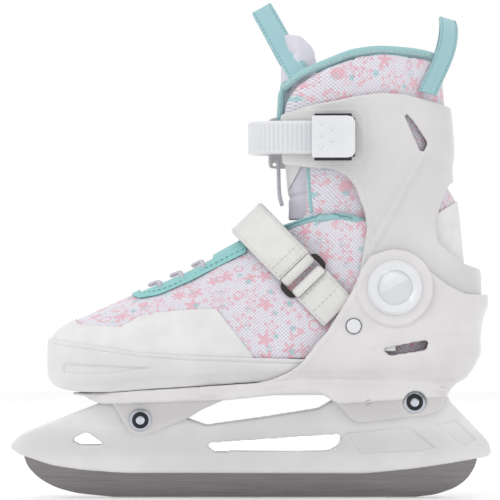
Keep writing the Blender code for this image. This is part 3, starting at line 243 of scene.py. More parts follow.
def smooth_curve(points):
    """A function through the points that never overshoots them: a monotone cubic."""
    xs, ys = (np.array(values, float) for values in zip(*points))
    steps, rises = np.diff(xs), np.diff(ys)
    slopes = rises / steps
    tangents = np.zeros(len(xs))
    tangents[0], tangents[-1] = slopes[0], slopes[-1]
    for i in range(1, len(xs) - 1):
        before, after = slopes[i - 1], slopes[i]
        if before * after > 0:
            tangents[i] = 2 * before * after / (before + after)

    def value(x):
        x = min(max(x, xs[0]), xs[-1])
        i = min(int(np.searchsorted(xs, x, "right")) - 1, len(steps) - 1)
        u = (x - xs[i]) / steps[i]
        return float(
            ys[i] * (1 + 2 * u) * (1 - u) ** 2
            + ys[i + 1] * u * u * (3 - 2 * u)
            + steps[i] * (tangents[i] * u * (1 - u) ** 2 + tangents[i + 1] * u * u * (u - 1))
        )

    return value


def side_curve(*points):
    """A height along the boot, drawn as (x, z) points."""
    return smooth_curve([side(x, z) for x, z in points])


def upright_curve(*points):
    """A place along X for each height, drawn as (z, x) points."""
    return smooth_curve([(side_z(z), side_x(x)) for z, x in points])


def rounded(corners, arc_steps=6):
    """A closed outline through (x, z) corners. A third number rounds that corner to the radius, if its sides allow."""
    places = [np.array(side(corner[0], corner[1])) for corner in corners]
    outline = []
    for i, corner in enumerate(corners):
        here, before, after = places[i], places[i - 1], places[(i + 1) % len(places)]
        if len(corner) < 3:
            outline.append(here)
            continue
        to_before, to_after = before - here, after - here
        reach_before, reach_after = np.linalg.norm(to_before), np.linalg.norm(to_after)
        to_before, to_after = to_before / reach_before, to_after / reach_after
        half_angle = math.acos(np.clip(to_before @ to_after, -1, 1)) / 2
        reach = min(corner[2] / math.tan(half_angle), 0.48 * reach_before, 0.48 * reach_after)
        first, last = here + to_before * reach, here + to_after * reach
        for step in range(arc_steps + 1):
            u = step / arc_steps
            outline.append(first * (1 - u) ** 2 + here * 2 * u * (1 - u) + last * u * u)
    return [tuple(point) for point in outline]


# ---------------------------------------------------------------- the boot's form

# Half width of the upper along the foot, at its widest height
foot_half_width = smooth_curve(
    [
        (side_x(x), w * WIDTH_STRETCH)
        for x, w in (
            (-119, 44.0), (-80, 44.0), (-50, 45.0), (-25, 44.6), (0, 42.8),
            (20, 40.6), (40, 38.4), (62, 36.8), (86, 36.2), (140, 36.2),
        )
    ]
)
# How much narrower the sides are close above the sole
side_fullness = smooth_curve(
    [(-6, 0.78), (0, 0.83), (4, 0.90), (10, 0.955), (18, 0.99), (26, 1.0), (99, 1.0)]
)
# The chassis deck's top, which the toe shell slides on
deck_top = side_curve((-119, 62.9), (-93, 63.2), (-55, 65.6), (-17, 68.0), (4, 69.4), (40, 70.2), (135, 71.0))
# The upper's ridge, seen from the side
ridge = side_curve(
    (-119, 100.0), (-93, 111.6), (-70, 122.0), (-37, 136.5), (-17, 147.5), (0, 157.0), (19, 170.0), (40, 172.0),
    (62, 165.0), (100, 148.0),
)
# Rear of the heel shell's outside at each height
heel_rear = upright_curve(
    (50, 116.0), (58, 117.5), (64, 119.4), (69, 124.5), (73, 131.4), (80, 136.4), (88, 139.6), (95, 139.3),
    (109, 141.4), (116, 143.8), (126, 143.8), (150, 142.0),
)
WIDEST_HEIGHT = side_z(90)
TOE_TIP = side_x(-118.8)
TOE_ROUND_FROM = side_x(-60)
TOE_DROP_FROM = side_x(-75)
HEEL_ROUND_FROM = side_x(85)
DOME_POWER = 2.2


def sole(x):
    """The underside of the upper: the toe shell's sole and two gaps lie between it and the deck."""
    return deck_top(x) + FIT_GAP + TOE_OUT


def cap(distance, reach, power):
    """The share of a width or height left this far into a rounded end."""
    share = min(max(distance / reach, 0.0), 1.0)
    return (1 - share**power) ** (1 / power)


def half_width(x, z, offset):
    """Half the boot's width at a place in its side walls, for a layer at this offset."""
    return foot_half_width(x) * side_fullness(z - sole(x)) + offset


def foot_section(x, offset, dome_steps=14, side_steps=7):
    """Half of a cross-section (y, z) of the foot, from the middle of the sole over the side to the ridge."""
    tip = TOE_TIP - offset
    narrow = cap(TOE_ROUND_FROM - x, TOE_ROUND_FROM - tip, 2.2)
    drop = cap(TOE_DROP_FROM - x, TOE_DROP_FROM - tip, 6.0)
    lift = cap(TOE_DROP_FROM - x, TOE_DROP_FROM - tip, 4.0)
    middle = min(WIDEST_HEIGHT, side_z(82) + max(0.0, x - TOE_TIP) * 0.12)
    low = middle - (middle - sole(x) + offset) * lift
    high = middle + (ridge(x) - middle + offset) * drop
    half = [(0.0, low), (half_width(x, low, offset) * narrow * 0.6, low)]
    for step in range(side_steps):
        z = low + (middle - low) * (step / side_steps) ** 1.3
        half.append((half_width(x, z, offset) * narrow, z))
    for step in range(dome_steps + 1):
        angle = math.pi / 2 * step / dome_steps
        y = half_width(x, middle, offset) * narrow * max(math.cos(angle), 0.0) ** (2 / DOME_POWER)
        half.append((y, middle + (high - middle) * math.sin(angle) ** (2 / DOME_POWER)))
    return half


def foot_form(offset, past_rear=0.0, stations=64):
    """The foot as a closed solid, from the toe to a flat end inside the heel."""
    tip, end = TOE_TIP - offset, side_x(100)
    rings = []
    for station in range(1, stations + 1):
        x = tip + (end - tip) * (1 - math.cos(math.pi / 2 * station / stations))
        half = foot_section(x, offset)
        x += past_rear if station == stations else 0.0
        ring = half + [(-y, z) for y, z in half[-2:0:-1]]
        rings.append([(x, y, z) for y, z in ring])
    nose = (tip, 0.0, (rings[0][0][2] + max(point[2] for point in rings[0])) / 2)
    return loft(rings, start_point=nose)


HEEL_LEVELS = range(59, 152, 2)
LEG_LEVELS = range(102, 292, 3)


def levels_between(bottom, top, drawn):
    """Heights from bottom to top with the drawn levels between them, so that all layers bend at the same ones."""
    return [bottom] + [side_z(z) for z in drawn if bottom + 0.5 < side_z(z) < top - 0.5] + [top]


def heel_form(offset, bottom, top, front=-60.0, side_steps=24, round_steps=16):
    """The heel as a closed solid with a round rear, from one height to another."""
    rings = []
    for z in levels_between(bottom, top, HEEL_LEVELS):
        rear = heel_rear(z) + offset - SHELL_OUT
        half = []
        for step in range(side_steps):
            x = side_x(front) + (HEEL_ROUND_FROM - side_x(front)) * step / side_steps
            half.append((x, half_width(x, z, offset)))
        for step in range(round_steps + 1):
            angle = math.pi / 2 * step / round_steps
            reach = max(math.sin(angle), 0.0) ** (2 / 2.4)
            x = HEEL_ROUND_FROM + (rear - HEEL_ROUND_FROM) * reach
            y = half_width(HEEL_ROUND_FROM, z, offset) * max(math.cos(angle), 0.0) ** (2 / 2.4)
            half.append((x, y))
        half[-1] = (half[-1][0], 0.0)
        ring = [(x, y, z) for x, y in half] + [(x, -y, z) for x, y in half[-2::-1]]
        rings.append(ring)
    return loft(rings)


def width_curve(*points):
    return smooth_curve([(side_z(z), w * WIDTH_STRETCH) for z, w in points])


# The liner's leg: front, rear and half width of its outside at each height
LEG_MIDDLE = side_x(72)
LEG_POWER = 2.5
leg_front = upright_curve((100, 32.0), (150, 15.0), (172, 18.0), (200, 16.0), (230, 13.5), (300, 13.0))
leg_rear = upright_curve(
    (100, 131.0), (126, 130.0), (141, 128.3), (160, 126.5), (178, 124.2), (188, 118.6), (200, 118.4),
    (225, 118.0), (245, 116.3), (272, 113.0), (300, 111.0),
)
leg_width = width_curve(
    (100, 33.0), (126, 33.0), (150, 32.8), (168, 33.2), (180, 34.0), (200, 36.8), (240, 40.8), (300, 43.6)
)
# The cuff's outside
cuff_front = upright_curve((100, -5.0), (300, -5.0))
cuff_rear = upright_curve(
    (100, 135.2), (110, 137.0), (121, 139.8), (136, 139.3), (150, 134.0), (170, 127.5), (186, 123.4), (198, 122.4),
    (206, 123.5), (225, 122.4), (245, 120.0),
)
cuff_width = width_curve(
    (100, 39.4), (140, 39.4), (162, 39.5), (178, 40.2), (200, 42.0), (216, 43.2), (245, 45.6)
)


def leg_form(front, rear, width, offset, bottom, top, around=22):
    """A leg as a closed solid: ovals between two heights, wide by the width curve and as long as front and rear say."""
    rings = []
    for z in levels_between(bottom, top, LEG_LEVELS):
        ring = []
        for turn in range(4 * around):
            angle = math.pi / 2 * turn / around
            along, across = math.cos(angle), math.sin(angle)
            reach = (rear(z) - LEG_MIDDLE if along > 0 else LEG_MIDDLE - front(z)) + offset
            x = LEG_MIDDLE + reach * math.copysign(abs(along) ** (2 / LEG_POWER), along)
            y = (width(z) + offset) * math.copysign(abs(across) ** (2 / LEG_POWER), across)
            ring.append((x, y, z))
        rings.append(ring)
    return loft(rings)


def liner_leg(offset, bottom, top):
    return leg_form(leg_front, leg_rear, leg_width, offset, side_z(bottom), side_z(top))


def cuff_leg(offset, bottom, top):
    return leg_form(cuff_front, cuff_rear, cuff_width, offset, side_z(bottom), side_z(top))


# ---------------------------------------------------------------- meshes


def mesh_of(points, faces):
    """A mesh from points in millimetres, with its faces turned outwards."""
    mesh = bpy.data.meshes.new("shape")
    mesh.from_pydata([Vector(point) * MM for point in points], [], faces)
    work = bmesh.new()
    work.from_mesh(mesh)
    bmesh.ops.remove_doubles(work, verts=work.verts, dist=1e-6)
    bmesh.ops.dissolve_degenerate(work, edges=work.edges, dist=1e-6)
    bmesh.ops.recalc_face_normals(work, faces=work.faces)
    work.to_mesh(mesh)
    work.free()
    return mesh


def loft(rings, start_point=None):
    """A closed skin over rings of equal length, with a point or a flat face at the start and a flat face at the end."""
    points = [point for ring in rings for point in ring]
    size, faces = len(rings[0]), []
    for row in range(len(rings) - 1):
        for i in range(size):
            j = (i + 1) % size
            faces.append((row * size + i, row * size + j, (row + 1) * size + j, (row + 1) * size + i))
    if start_point is None:
        faces.append(tuple(range(size))[::-1])
    else:
        points.append(start_point)
        faces += [(len(points) - 1, (i + 1) % size, i) for i in range(size)]
    last = (len(rings) - 1) * size
    faces.append(tuple(range(last, last + size)))
    return mesh_of(points, faces)


def prism(outline, y0, y1):
    """A side-view outline made solid from y0 to y1."""
    return loft([[(x, y0, z) for x, z in outline], [(x, y1, z) for x, z in outline]])


def disc(centre, radius, y0, y1, sides=64, top_radius=None):
    """A round solid on an axis along Y."""
    rings = []
    for y, r in ((y0, radius), (y1, radius if top_radius is None else top_radius)):
        angles = [2 * math.pi * i / sides for i in range(sides)]
        rings.append([(centre[0] + r * math.cos(a), y, centre[1] + r * math.sin(a)) for a in angles])
    return loft(rings)


def block(x0, x1, y0, y1, z0, z1):
    return prism([(x0, z0), (x1, z0), (x1, z1), (x0, z1)], y0, y1)


def rod(x, y, radius, z0, z1, sides=16):
    """A round solid on an upright axis."""
    angles = [2 * math.pi * i / sides for i in range(sides)]
    return loft([[(x + radius * math.cos(a), y + radius * math.sin(a), z) for a in angles] for z in (z0, z1)])


def tube(path, radius, sides=8):
    """A round cord along a path of points."""
    path = [Vector(point) for point in path]
    rings, side_way = [], None
    for i, point in enumerate(path):
        along = (path[min(i + 1, len(path) - 1)] - path[max(i - 1, 0)]).normalized()
        side_way = along.orthogonal() if side_way is None else side_way - along * side_way.dot(along)
        side_way.normalize()
        other = along.cross(side_way)
        angles = [2 * math.pi * k / sides for k in range(sides)]
        rings.append([point + (side_way * math.cos(a) + other * math.sin(a)) * radius for a in angles])
    return loft(rings)


def along_points(points, steps):
    """Points along a smooth curve through the given ones, evenly spaced in length."""
    points = np.array(points, float)
    lengths = np.concatenate([[0], np.cumsum(np.linalg.norm(np.diff(points, axis=0), axis=1))])
    curves = [natural_curve(lengths, points[:, axis]) for axis in range(points.shape[1])]
    return [tuple(curve(s) for curve in curves) for s in np.linspace(0, lengths[-1], steps)]


def natural_curve(xs, ys):
    """A cubic spline through the points with no bend at its ends."""
    steps = np.diff(xs)
    size = len(xs)
    rows, right = np.eye(size), np.zeros(size)
    for i in range(1, size - 1):
        rows[i, i - 1 : i + 2] = steps[i - 1], 2 * (steps[i - 1] + steps[i]), steps[i]
        right[i] = 6 * ((ys[i + 1] - ys[i]) / steps[i] - (ys[i] - ys[i - 1]) / steps[i - 1])
    bends = np.linalg.solve(rows, right)

    def value(x):
        i = min(max(int(np.searchsorted(xs, x, "right")) - 1, 0), len(steps) - 1)
        a, b, h = xs[i + 1] - x, x - xs[i], steps[i]
        return float(
            (bends[i] * a**3 + bends[i + 1] * b**3) / (6 * h)
            + (ys[i] / h - bends[i] * h / 6) * a
            + (ys[i + 1] / h - bends[i + 1] * h / 6) * b
        )

    return value


def boolean(operation, base, *others):
    """The mesh left by one exact Boolean of base with each other mesh in turn."""
    holder = bpy.data.objects.new("boolean_base", base)
    bpy.context.scene.collection.objects.link(holder)
    tools = []
    for other in others:
        tool = bpy.data.objects.new("boolean_tool", other)
        bpy.context.scene.collection.objects.link(tool)
        modifier = holder.modifiers.new("boolean", "BOOLEAN")
        modifier.operation, modifier.object, modifier.solver = operation, tool, "EXACT"
        tools.append(tool)
    graph = bpy.context.evaluated_depsgraph_get()
    result = bpy.data.meshes.new_from_object(holder.evaluated_get(graph))
    for obj in (holder, *tools):
        bpy.data.objects.remove(obj, do_unlink=True)
    return result


def cut(base, *others):
    return boolean("DIFFERENCE", base, *others)


def join(base, *others):
    return boolean("UNION", base, *others)


def common(base, *others):
    return boolean("INTERSECT", base, *others)


def mirrored(mesh):
    """The same mesh on the other side of the skate."""
    copy = mesh.copy()
    copy.transform(Matrix.Scale(-1, 4, (0, 1, 0)))
    copy.flip_normals()
    return copy


def shaped_across(mesh, levels, half_width_at):
    """A prism whose side faces follow a half width that changes with height."""
    work = bmesh.new()
    work.from_mesh(mesh)
    for level in levels:
        everything = work.verts[:] + work.edges[:] + work.faces[:]
        bmesh.ops.bisect_plane(
            work, geom=everything, plane_co=(0, 0, level * MM), plane_no=(0, 0, 1), dist=1e-7
        )
    for vert in work.verts:
        vert.co.y = math.copysign(half_width_at(vert.co.z / MM) * MM, vert.co.y)
    bmesh.ops.triangulate(work, faces=work.faces)
    shaped = bpy.data.meshes.new("shape")
    work.to_mesh(shaped)
    work.free()
    return shaped


# ---------------------------------------------------------------- materials


class Shader:
    """A Principled material whose inputs are fed by small graphs of nodes."""

    def __init__(self, name, colour, roughness, metallic=0.0, **inputs):
        self.material = bpy.data.materials.new(name)
        self.material.use_nodes = True
        self.tree = self.material.node_tree
        self.bsdf = self.tree.nodes["Principled BSDF"]
        self.bsdf.inputs["Base Color"].default_value = (*colour, 1)
        self.bsdf.inputs["Roughness"].default_value = roughness
        self.bsdf.inputs["Metallic"].default_value = metallic
        for key, value in inputs.items():
            self.bsdf.inputs[key.replace("_", " ")].default_value = value

    def node(self, kind, inputs=(), **settings):
        made = self.tree.nodes.new("ShaderNode" + kind)
        for key, value in settings.items():
            setattr(made, key, value)
        for key, value in dict(inputs).items():
            self.feed(made.inputs[key], value)
        return made

    def feed(self, socket, value):
        if isinstance(value, bpy.types.NodeSocket):
            self.tree.links.new(value, socket)
        elif isinstance(value, tuple) and len(value) == 3 and socket.type == "RGBA":
            socket.default_value = (*value, 1)
        else:
            socket.default_value = value

    def math(self, operation, a, b=0.0, c=0.0):
        return self.node("Math", {0: a, 1: b, 2: c}, operation=operation).outputs[0]

    def ramp(self, value, low, high, out_low=0.0, out_high=1.0):
        inputs = {"Value": value, "From Min": low, "From Max": high, "To Min": out_low, "To Max": out_high}
        return self.node("MapRange", inputs, interpolation_type="SMOOTHSTEP").outputs["Result"]

    def mix(self, share, a, b):
        made = self.node("Mix", data_type="RGBA")
        self.feed(made.inputs[0], share)
        self.feed(made.inputs[6], a)
        self.feed(made.inputs[7], b)
        return made.outputs[2]

    def place(self, scale=(1, 1, 1), turn=(0, 0, 0), kind="Object"):
        """Object coordinates in millimetres, or UV."""
        grown = scale if kind == "UV" else tuple(1000 * value for value in scale)
        coordinates = self.node("TexCoord").outputs[kind]
        return self.node("Mapping", {"Vector": coordinates, "Scale": grown, "Rotation": turn}).outputs[0]

    def noise(self, vector, scale, detail=3.0):
        return self.node("TexNoise", {"Vector": vector, "Scale": scale, "Detail": detail}).outputs["Fac"]

    def bump(self, height, distance, strength=1.0):
        made = self.node("Bump", {"Height": height, "Distance": distance, "Strength": strength})
        self.feed(self.bsdf.inputs["Normal"], made.outputs[0])


def plastic(name, colour, roughness=0.34):
    """Moulded plastic: faint colour drift, painted shade in its hollow corners, a painted highlight on its sharp edges,
    an uneven gloss and a fine skin.
    """
    made = Shader(name, colour, roughness, Coat_Weight=0.25, Coat_Roughness=0.22, Specular_IOR_Level=0.5)
    at = made.place()
    drift = made.noise(at, 0.035, 4.0)
    pointiness = made.node("NewGeometry").outputs["Pointiness"]
    # Painted shade: hollow corners (low pointiness) are darkened.
    corner = made.ramp(pointiness, 0.47, 0.50, 1.0, 0.0)
    # Painted highlight: sharp outer edges (high pointiness) are lightened.
    edge = made.ramp(pointiness, 0.53, 0.60)
    light = tuple(min(1.0, c * 1.05) for c in colour)
    # The colour of the shade painted into hollow corners.
    dark = tuple(c * 0.80 for c in colour)
    body = made.mix(made.ramp(drift, 0.3, 0.7), tuple(c * 0.975 for c in colour), light)
    body = made.mix(made.math("MULTIPLY", corner, 0.55), body, dark)
    # Painted highlight mixed onto the sharp edges, towards near white.
    body = made.mix(made.math("MULTIPLY", edge, 0.35), body, (0.93, 0.93, 0.93))
    made.feed(made.bsdf.inputs["Base Color"], body)
    scuff = made.noise(made.place((1, 1, 0.25)), 0.9, 6.0)
    made.feed(made.bsdf.inputs["Roughness"], made.ramp(scuff, 0.3, 0.8, roughness - 0.05, roughness + 0.14))
    made.bump(made.noise(at, 1.6, 3.0), 0.00003, 0.25)
    return made.material


def dark_plastic(name, colour, roughness):
    """Moulded black plastic, which shows only its gloss and a fine skin."""
    made = Shader(name, colour, roughness, Specular_IOR_Level=0.4)
    scuff = made.noise(made.place(), 0.9, 5.0)
    made.feed(made.bsdf.inputs["Roughness"], made.ramp(scuff, 0.3, 0.8, roughness - 0.06, roughness + 0.12))
    made.bump(made.noise(made.place(), 2.0), 0.00003, 0.5)
    return made.material


def steel(name, colour, roughness, brushed=(0.03, 1.0, 2.2)):
    """Ground steel: long fine scratches along X and a slow drift in tone."""
    made = Shader(name, colour, roughness, 1.0, Anisotropic=0.5)
    at = made.place(brushed)
    scratch = made.noise(at, 1.4, 8.0)
    drift = made.noise(made.place(), 0.03, 3.0)
    tone = made.mix(
        made.ramp(scratch, 0.25, 0.75), tuple(c * 0.8 for c in colour),
        tuple(min(1, c * 1.18) for c in colour)
    )
    tone = made.mix(made.ramp(drift, 0.35, 0.7, 0.0, 0.4), tone, tuple(c * 0.85 for c in colour))
    made.feed(made.bsdf.inputs["Base Color"], tone)
    made.feed(made.bsdf.inputs["Roughness"], made.ramp(scratch, 0.2, 0.8, roughness - 0.08, roughness + 0.12))
    made.bump(scratch, 0.00002, 0.4)
    return made.material


def motif(made, at, scale, radius, seed):
    """A scatter of five-point stars, bursts and rings: (share of ink, colour choice)."""
    shift = made.node("VectorMath", {0: at, 1: (seed, seed * 0.7, 0)}, operation="ADD").outputs[0]
    cells = made.node(
        "TexVoronoi", {"Vector": shift, "Scale": scale, "Randomness": 0.72}, voronoi_dimensions="2D"
    )
    grown = made.node("VectorMath", {0: shift, "Scale": scale}, operation="SCALE").outputs[0]
    centre = made.node(
        "VectorMath", {0: cells.outputs["Position"], "Scale": scale}, operation="SCALE"
    ).outputs[0]
    apart = made.node("VectorMath", {0: grown, 1: centre}, operation="SUBTRACT").outputs[0]
    split = made.node("SeparateXYZ", {0: apart}).outputs
    choice = made.node("SeparateColor", {0: cells.outputs["Color"]}).outputs
    angle = made.math("ARCTAN2", split[1], split[0])
    far = made.math(
        "SQRT",
        made.math("ADD", made.math("MULTIPLY", split[0], split[0]), made.math("MULTIPLY", split[1], split[1]))
    )
    points = made.math("ADD", 5.0, made.math("MULTIPLY", made.math("GREATER_THAN", choice[0], 0.72), 3.0))
    turned = made.math("ADD", angle, made.math("MULTIPLY", choice[1], 6.28))
    wave = made.math("COSINE", made.math("MULTIPLY", turned, points))
    depth = made.math("MULTIPLY", made.math("LESS_THAN", choice[0], 0.86), 0.36)
    reach = made.math(
        "MULTIPLY", radius,
        made.math("ADD", made.math("MULTIPLY_ADD", wave, depth, 0.72), made.math("MULTIPLY", choice[1], 0.25))
    )
    inside = made.ramp(made.math("SUBTRACT", reach, far), -0.012, 0.012)
    hollow = made.ramp(made.math("SUBTRACT", made.math("MULTIPLY", reach, 0.66), far), -0.012, 0.012)
    outlined = made.math("GREATER_THAN", choice[2], 0.45)
    return made.math("SUBTRACT", inside, made.math("MULTIPLY", hollow, outlined)), choice[1]


def printed_mesh(name, round_leg, round_foot):
    """White-lilac spacer mesh with staggered eyelets painted dark with shade, under a pink and teal print, wrapped
    round leg or foot.
    """
    made = Shader(name, (0.74, 0.71, 0.80), 0.88, Sheen_Weight=0.25)
    at = made.place()
    split = made.node("SeparateXYZ", {0: at}).outputs
    across = made.math("ABSOLUTE", split[1])
    along = made.math("MULTIPLY_ADD", across, -round_leg, split[0])
    up = made.math("MULTIPLY_ADD", across, -round_foot, split[2])
    flat = made.node("CombineXYZ", {0: along, 1: up, 2: 0.0}).outputs[0]
    lattice = made.node(
        "Mapping", {"Vector": flat, "Rotation": (0, 0, math.radians(45)), "Scale": (1.0, 1.0, 1.0)}
    ).outputs[0]
    eyelets = made.node(
        "TexVoronoi", {"Vector": lattice, "Scale": 0.62, "Randomness": 0.04}, voronoi_dimensions="2D"
    )
    hole = made.ramp(eyelets.outputs["Distance"], 0.24, 0.40, 1.0, 0.0)
    yarn = made.noise(flat, 2.4, 4.0)
    cloth = made.mix(made.ramp(yarn, 0.3, 0.7), (0.70, 0.67, 0.74), (0.80, 0.775, 0.83))
    big, _ = motif(made, flat, 0.088, 0.36, 3.1)
    small, _ = motif(made, flat, 0.105, 0.20, 47.3)
    teal, _ = motif(made, flat, 0.071, 0.13, 91.7)
    cloth = made.mix(made.math("MULTIPLY", big, 0.72), cloth, (0.80, 0.37, 0.44))
    cloth = made.mix(made.math("MULTIPLY", small, 0.70), cloth, (0.80, 0.42, 0.48))
    cloth = made.mix(made.math("MULTIPLY", teal, 0.85), cloth, (0.30, 0.60, 0.62))
    # Painted shade: the eyelet holes are darkened.
    cloth = made.mix(made.math("MULTIPLY", hole, 0.50), cloth, (0.40, 0.39, 0.47))
    made.feed(made.bsdf.inputs["Base Color"], cloth)
    made.bump(made.math("SUBTRACT", made.math("MULTIPLY", yarn, 0.3), hole), 0.00030, 0.8)
    return made.material


def leather(name, colour, roughness=0.48, grain=0.9):
    """Coated synthetic leather with a pebbled grain."""
    made = Shader(name, colour, roughness, Specular_IOR_Level=0.45)
    at = made.place()
    cells = made.node("TexVoronoi", {"Vector": at, "Scale": grain}, feature="SMOOTH_F1").outputs["Distance"]
    drift = made.noise(at, 0.06, 4.0)
    tone = made.mix(
        made.ramp(drift, 0.3, 0.7), tuple(c * 0.95 for c in colour), tuple(min(1, c * 1.04) for c in colour)
    )
    tone = made.mix(made.ramp(cells, 0.55, 0.9, 0.0, 0.18), tone, tuple(c * 0.75 for c in colour))
    made.feed(made.bsdf.inputs["Base Color"], tone)
    made.feed(made.bsdf.inputs["Roughness"], made.ramp(drift, 0.3, 0.7, roughness - 0.06, roughness + 0.08))
    made.bump(made.math("ADD", cells, made.math("MULTIPLY", made.noise(at, 2.2), 0.4)), 0.00012, 0.5)
    return made.material


def woven(name, colour, pitch=1.1, sheen=0.3):
    """Woven or knitted cloth: crossed yarns painted darker in their dips and lighter on their crowns, with fibres of
    uneven tone.
    """
    made = Shader(name, colour, 0.82, Sheen_Weight=sheen)
    at = made.place()
    split = made.node("SeparateXYZ", {0: at}).outputs
    along = made.math("ADD", split[0], made.math("ADD", split[2], split[1]))
    other = made.math("SUBTRACT", split[0], made.math("SUBTRACT", split[2], split[1]))
    warp = made.math("SINE", made.math("MULTIPLY", along, 2 * math.pi / pitch))
    weft = made.math("SINE", made.math("MULTIPLY", other, 2 * math.pi / pitch))
    yarn = made.math("MULTIPLY", warp, weft)
    fuzz = made.noise(at, 3.0, 5.0)
    height = made.math("MULTIPLY_ADD", yarn, 0.5, made.math("MULTIPLY", fuzz, 0.5))
    # The tone follows the yarn height that also drives the bump: painted shade in the dips and a painted highlight on
    # the crowns, with random fibre tone from the fuzz.
    tone = made.mix(
        made.ramp(height, -0.3, 0.7), tuple(c * 0.74 for c in colour), tuple(min(1, c * 1.10) for c in colour)
    )
    tone = made.mix(
        made.ramp(made.noise(at, 0.05), 0.35, 0.7, 0.0, 0.3), tone, tuple(c * 0.88 for c in colour)
    )
    made.feed(made.bsdf.inputs["Base Color"], tone)
    made.bump(height, 0.00022, 0.7)
    return made.material


LOOKS = {
    name: kind(name, *settings)
    for name, kind, *settings in (
        ("holder_plastic", plastic, (0.70, 0.69, 0.695), 0.34),
        ("shell_plastic", plastic, (0.64, 0.625, 0.625), 0.36),
        ("toe_plastic", plastic, (0.65, 0.64, 0.65), 0.36),
        ("cuff_plastic", plastic, (0.60, 0.59, 0.59), 0.36),
        ("cap_plastic", plastic, (0.68, 0.69, 0.71), 0.28),
        ("strap_plastic", plastic, (0.63, 0.64, 0.67), 0.30),
        ("ring_plastic", dark_plastic, (0.016, 0.012, 0.011), 0.42),
        ("steel_dome", steel, (0.62, 0.67, 0.75), 0.16, (1, 1, 1)),
        ("blade_steel", steel, (0.245, 0.23, 0.233), 0.32),
        ("chrome", steel, (0.50, 0.53, 0.58), 0.20, (1, 1, 1)),
        ("dark_steel", steel, (0.05, 0.05, 0.055), 0.36, (1, 1, 1)),
        ("printed_mesh", printed_mesh, 0.0, 0.83),
        ("printed_leg_mesh", printed_mesh, 0.9, 0.0),
        ("white_leather", leather, (0.69, 0.69, 0.685)),
        ("strap_leather", leather, (0.65, 0.645, 0.63), 0.5, 0.8),
        ("teal_leather", leather, (0.24, 0.52, 0.52), 0.5, 1.1),
        ("teal_tape", woven, (0.34, 0.58, 0.60), 1.0),
        ("loop_tape", woven, (0.35, 0.59, 0.63), 0.9),
        ("lining", woven, (0.60, 0.58, 0.64), 1.5),
        ("tongue_cloth", leather, (0.62, 0.61, 0.68), 0.85, 0.7),
        ("lace_cord", woven, (0.60, 0.57, 0.65), 0.8),
        ("thread", woven, (0.70, 0.70, 0.70), 0.5),
        ("teal_thread", woven, (0.16, 0.42, 0.44), 0.5),
    )
}

# ---------------------------------------------------------------- making pieces


def piece(name, mesh, look, body, replaced=(), smooth_angle=50):
    """A finished piece that rides on a body. With body None it is left unattached."""
    mesh.name = name
    mesh.materials.clear()
    mesh.materials.append(LOOKS[look])
    mesh.shade_smooth()
    if smooth_angle:
        mesh.set_sharp_from_angle(angle=math.radians(smooth_angle))
    obj = bpy.data.objects.new(name, mesh)
    bpy.context.scene.collection.objects.link(obj)
    if body:
        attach(obj, body)
    if replaced:
        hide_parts(*replaced)
    return obj


def evaluated(mesh, *modifiers):
    """The mesh after (type, settings) modifiers."""
    holder = bpy.data.objects.new("holder", mesh)
    bpy.context.scene.collection.objects.link(holder)
    for kind, settings in modifiers:
        modifier = holder.modifiers.new(kind, kind)
        for key, value in settings.items():
            setattr(modifier, key, value)
    result = bpy.data.meshes.new_from_object(holder.evaluated_get(bpy.context.evaluated_depsgraph_get()))
    bpy.data.objects.remove(holder, do_unlink=True)
    return result


def softened(mesh, voxel=0.8, passes=5):
    """A mesh of small even quads with rounded edges."""
    steps = (
        ("REMESH", {"mode": "VOXEL", "voxel_size": voxel * MM}),
        ("SMOOTH", {"factor": 0.5, "iterations": passes})
    )
    return evaluated(mesh, *steps)


def bevelled(mesh, width=0.4, segments=2, angle=32):
    settings = {
        "width": width * MM, "segments": segments, "limit_method": "ANGLE", "angle_limit": math.radians(angle)
    }
    return evaluated(mesh, ("BEVEL", {**settings, "use_clamp_overlap": True, "harden_normals": False}))


def points_of(mesh):
    """(points in millimetres, normals) of a mesh."""
    points = np.empty(len(mesh.vertices) * 3, np.float32)
    normals = np.empty_like(points)
    mesh.vertices.foreach_get("co", points)
    mesh.vertex_normals.foreach_get("vector", normals)
    return points.reshape(-1, 3) / MM, normals.reshape(-1, 3)


def set_points(mesh, points):
    mesh.vertices.foreach_set("co", (points * MM).astype(np.float32).ravel())
    mesh.update()


def eased(values):
    values = np.clip(values, 0, 1)
    return values * values * (3 - 2 * values)


def line_distance(places, line, closed=False):
    """How far each (x, z) place is from a line of corners, and whether it lies inside a closed one."""
    line = np.array([side(*corner[:2]) for corner in line], float)
    ends = np.roll(line, -1, axis=0) if closed else line[1:]
    starts = line if closed else line[:-1]
    nearest = np.full(len(places), 1e9)
    within = np.zeros(len(places), bool)
    for start, end in zip(starts, ends):
        way = end - start
        share = np.clip(((places - start) @ way) / max(way @ way, 1e-12), 0, 1)
        nearest = np.minimum(nearest, np.linalg.norm(places - start - share[:, None] * way, axis=1))
        if closed:
            crosses = (start[1] > places[:, 1]) != (end[1] > places[:, 1])
            at = start[0] + (places[:, 1] - start[1]) * way[0] / (way[1] if way[1] else 1e-12)
            within ^= crosses & (places[:, 0] < at)
    return np.where(within, nearest, -nearest) if closed else nearest


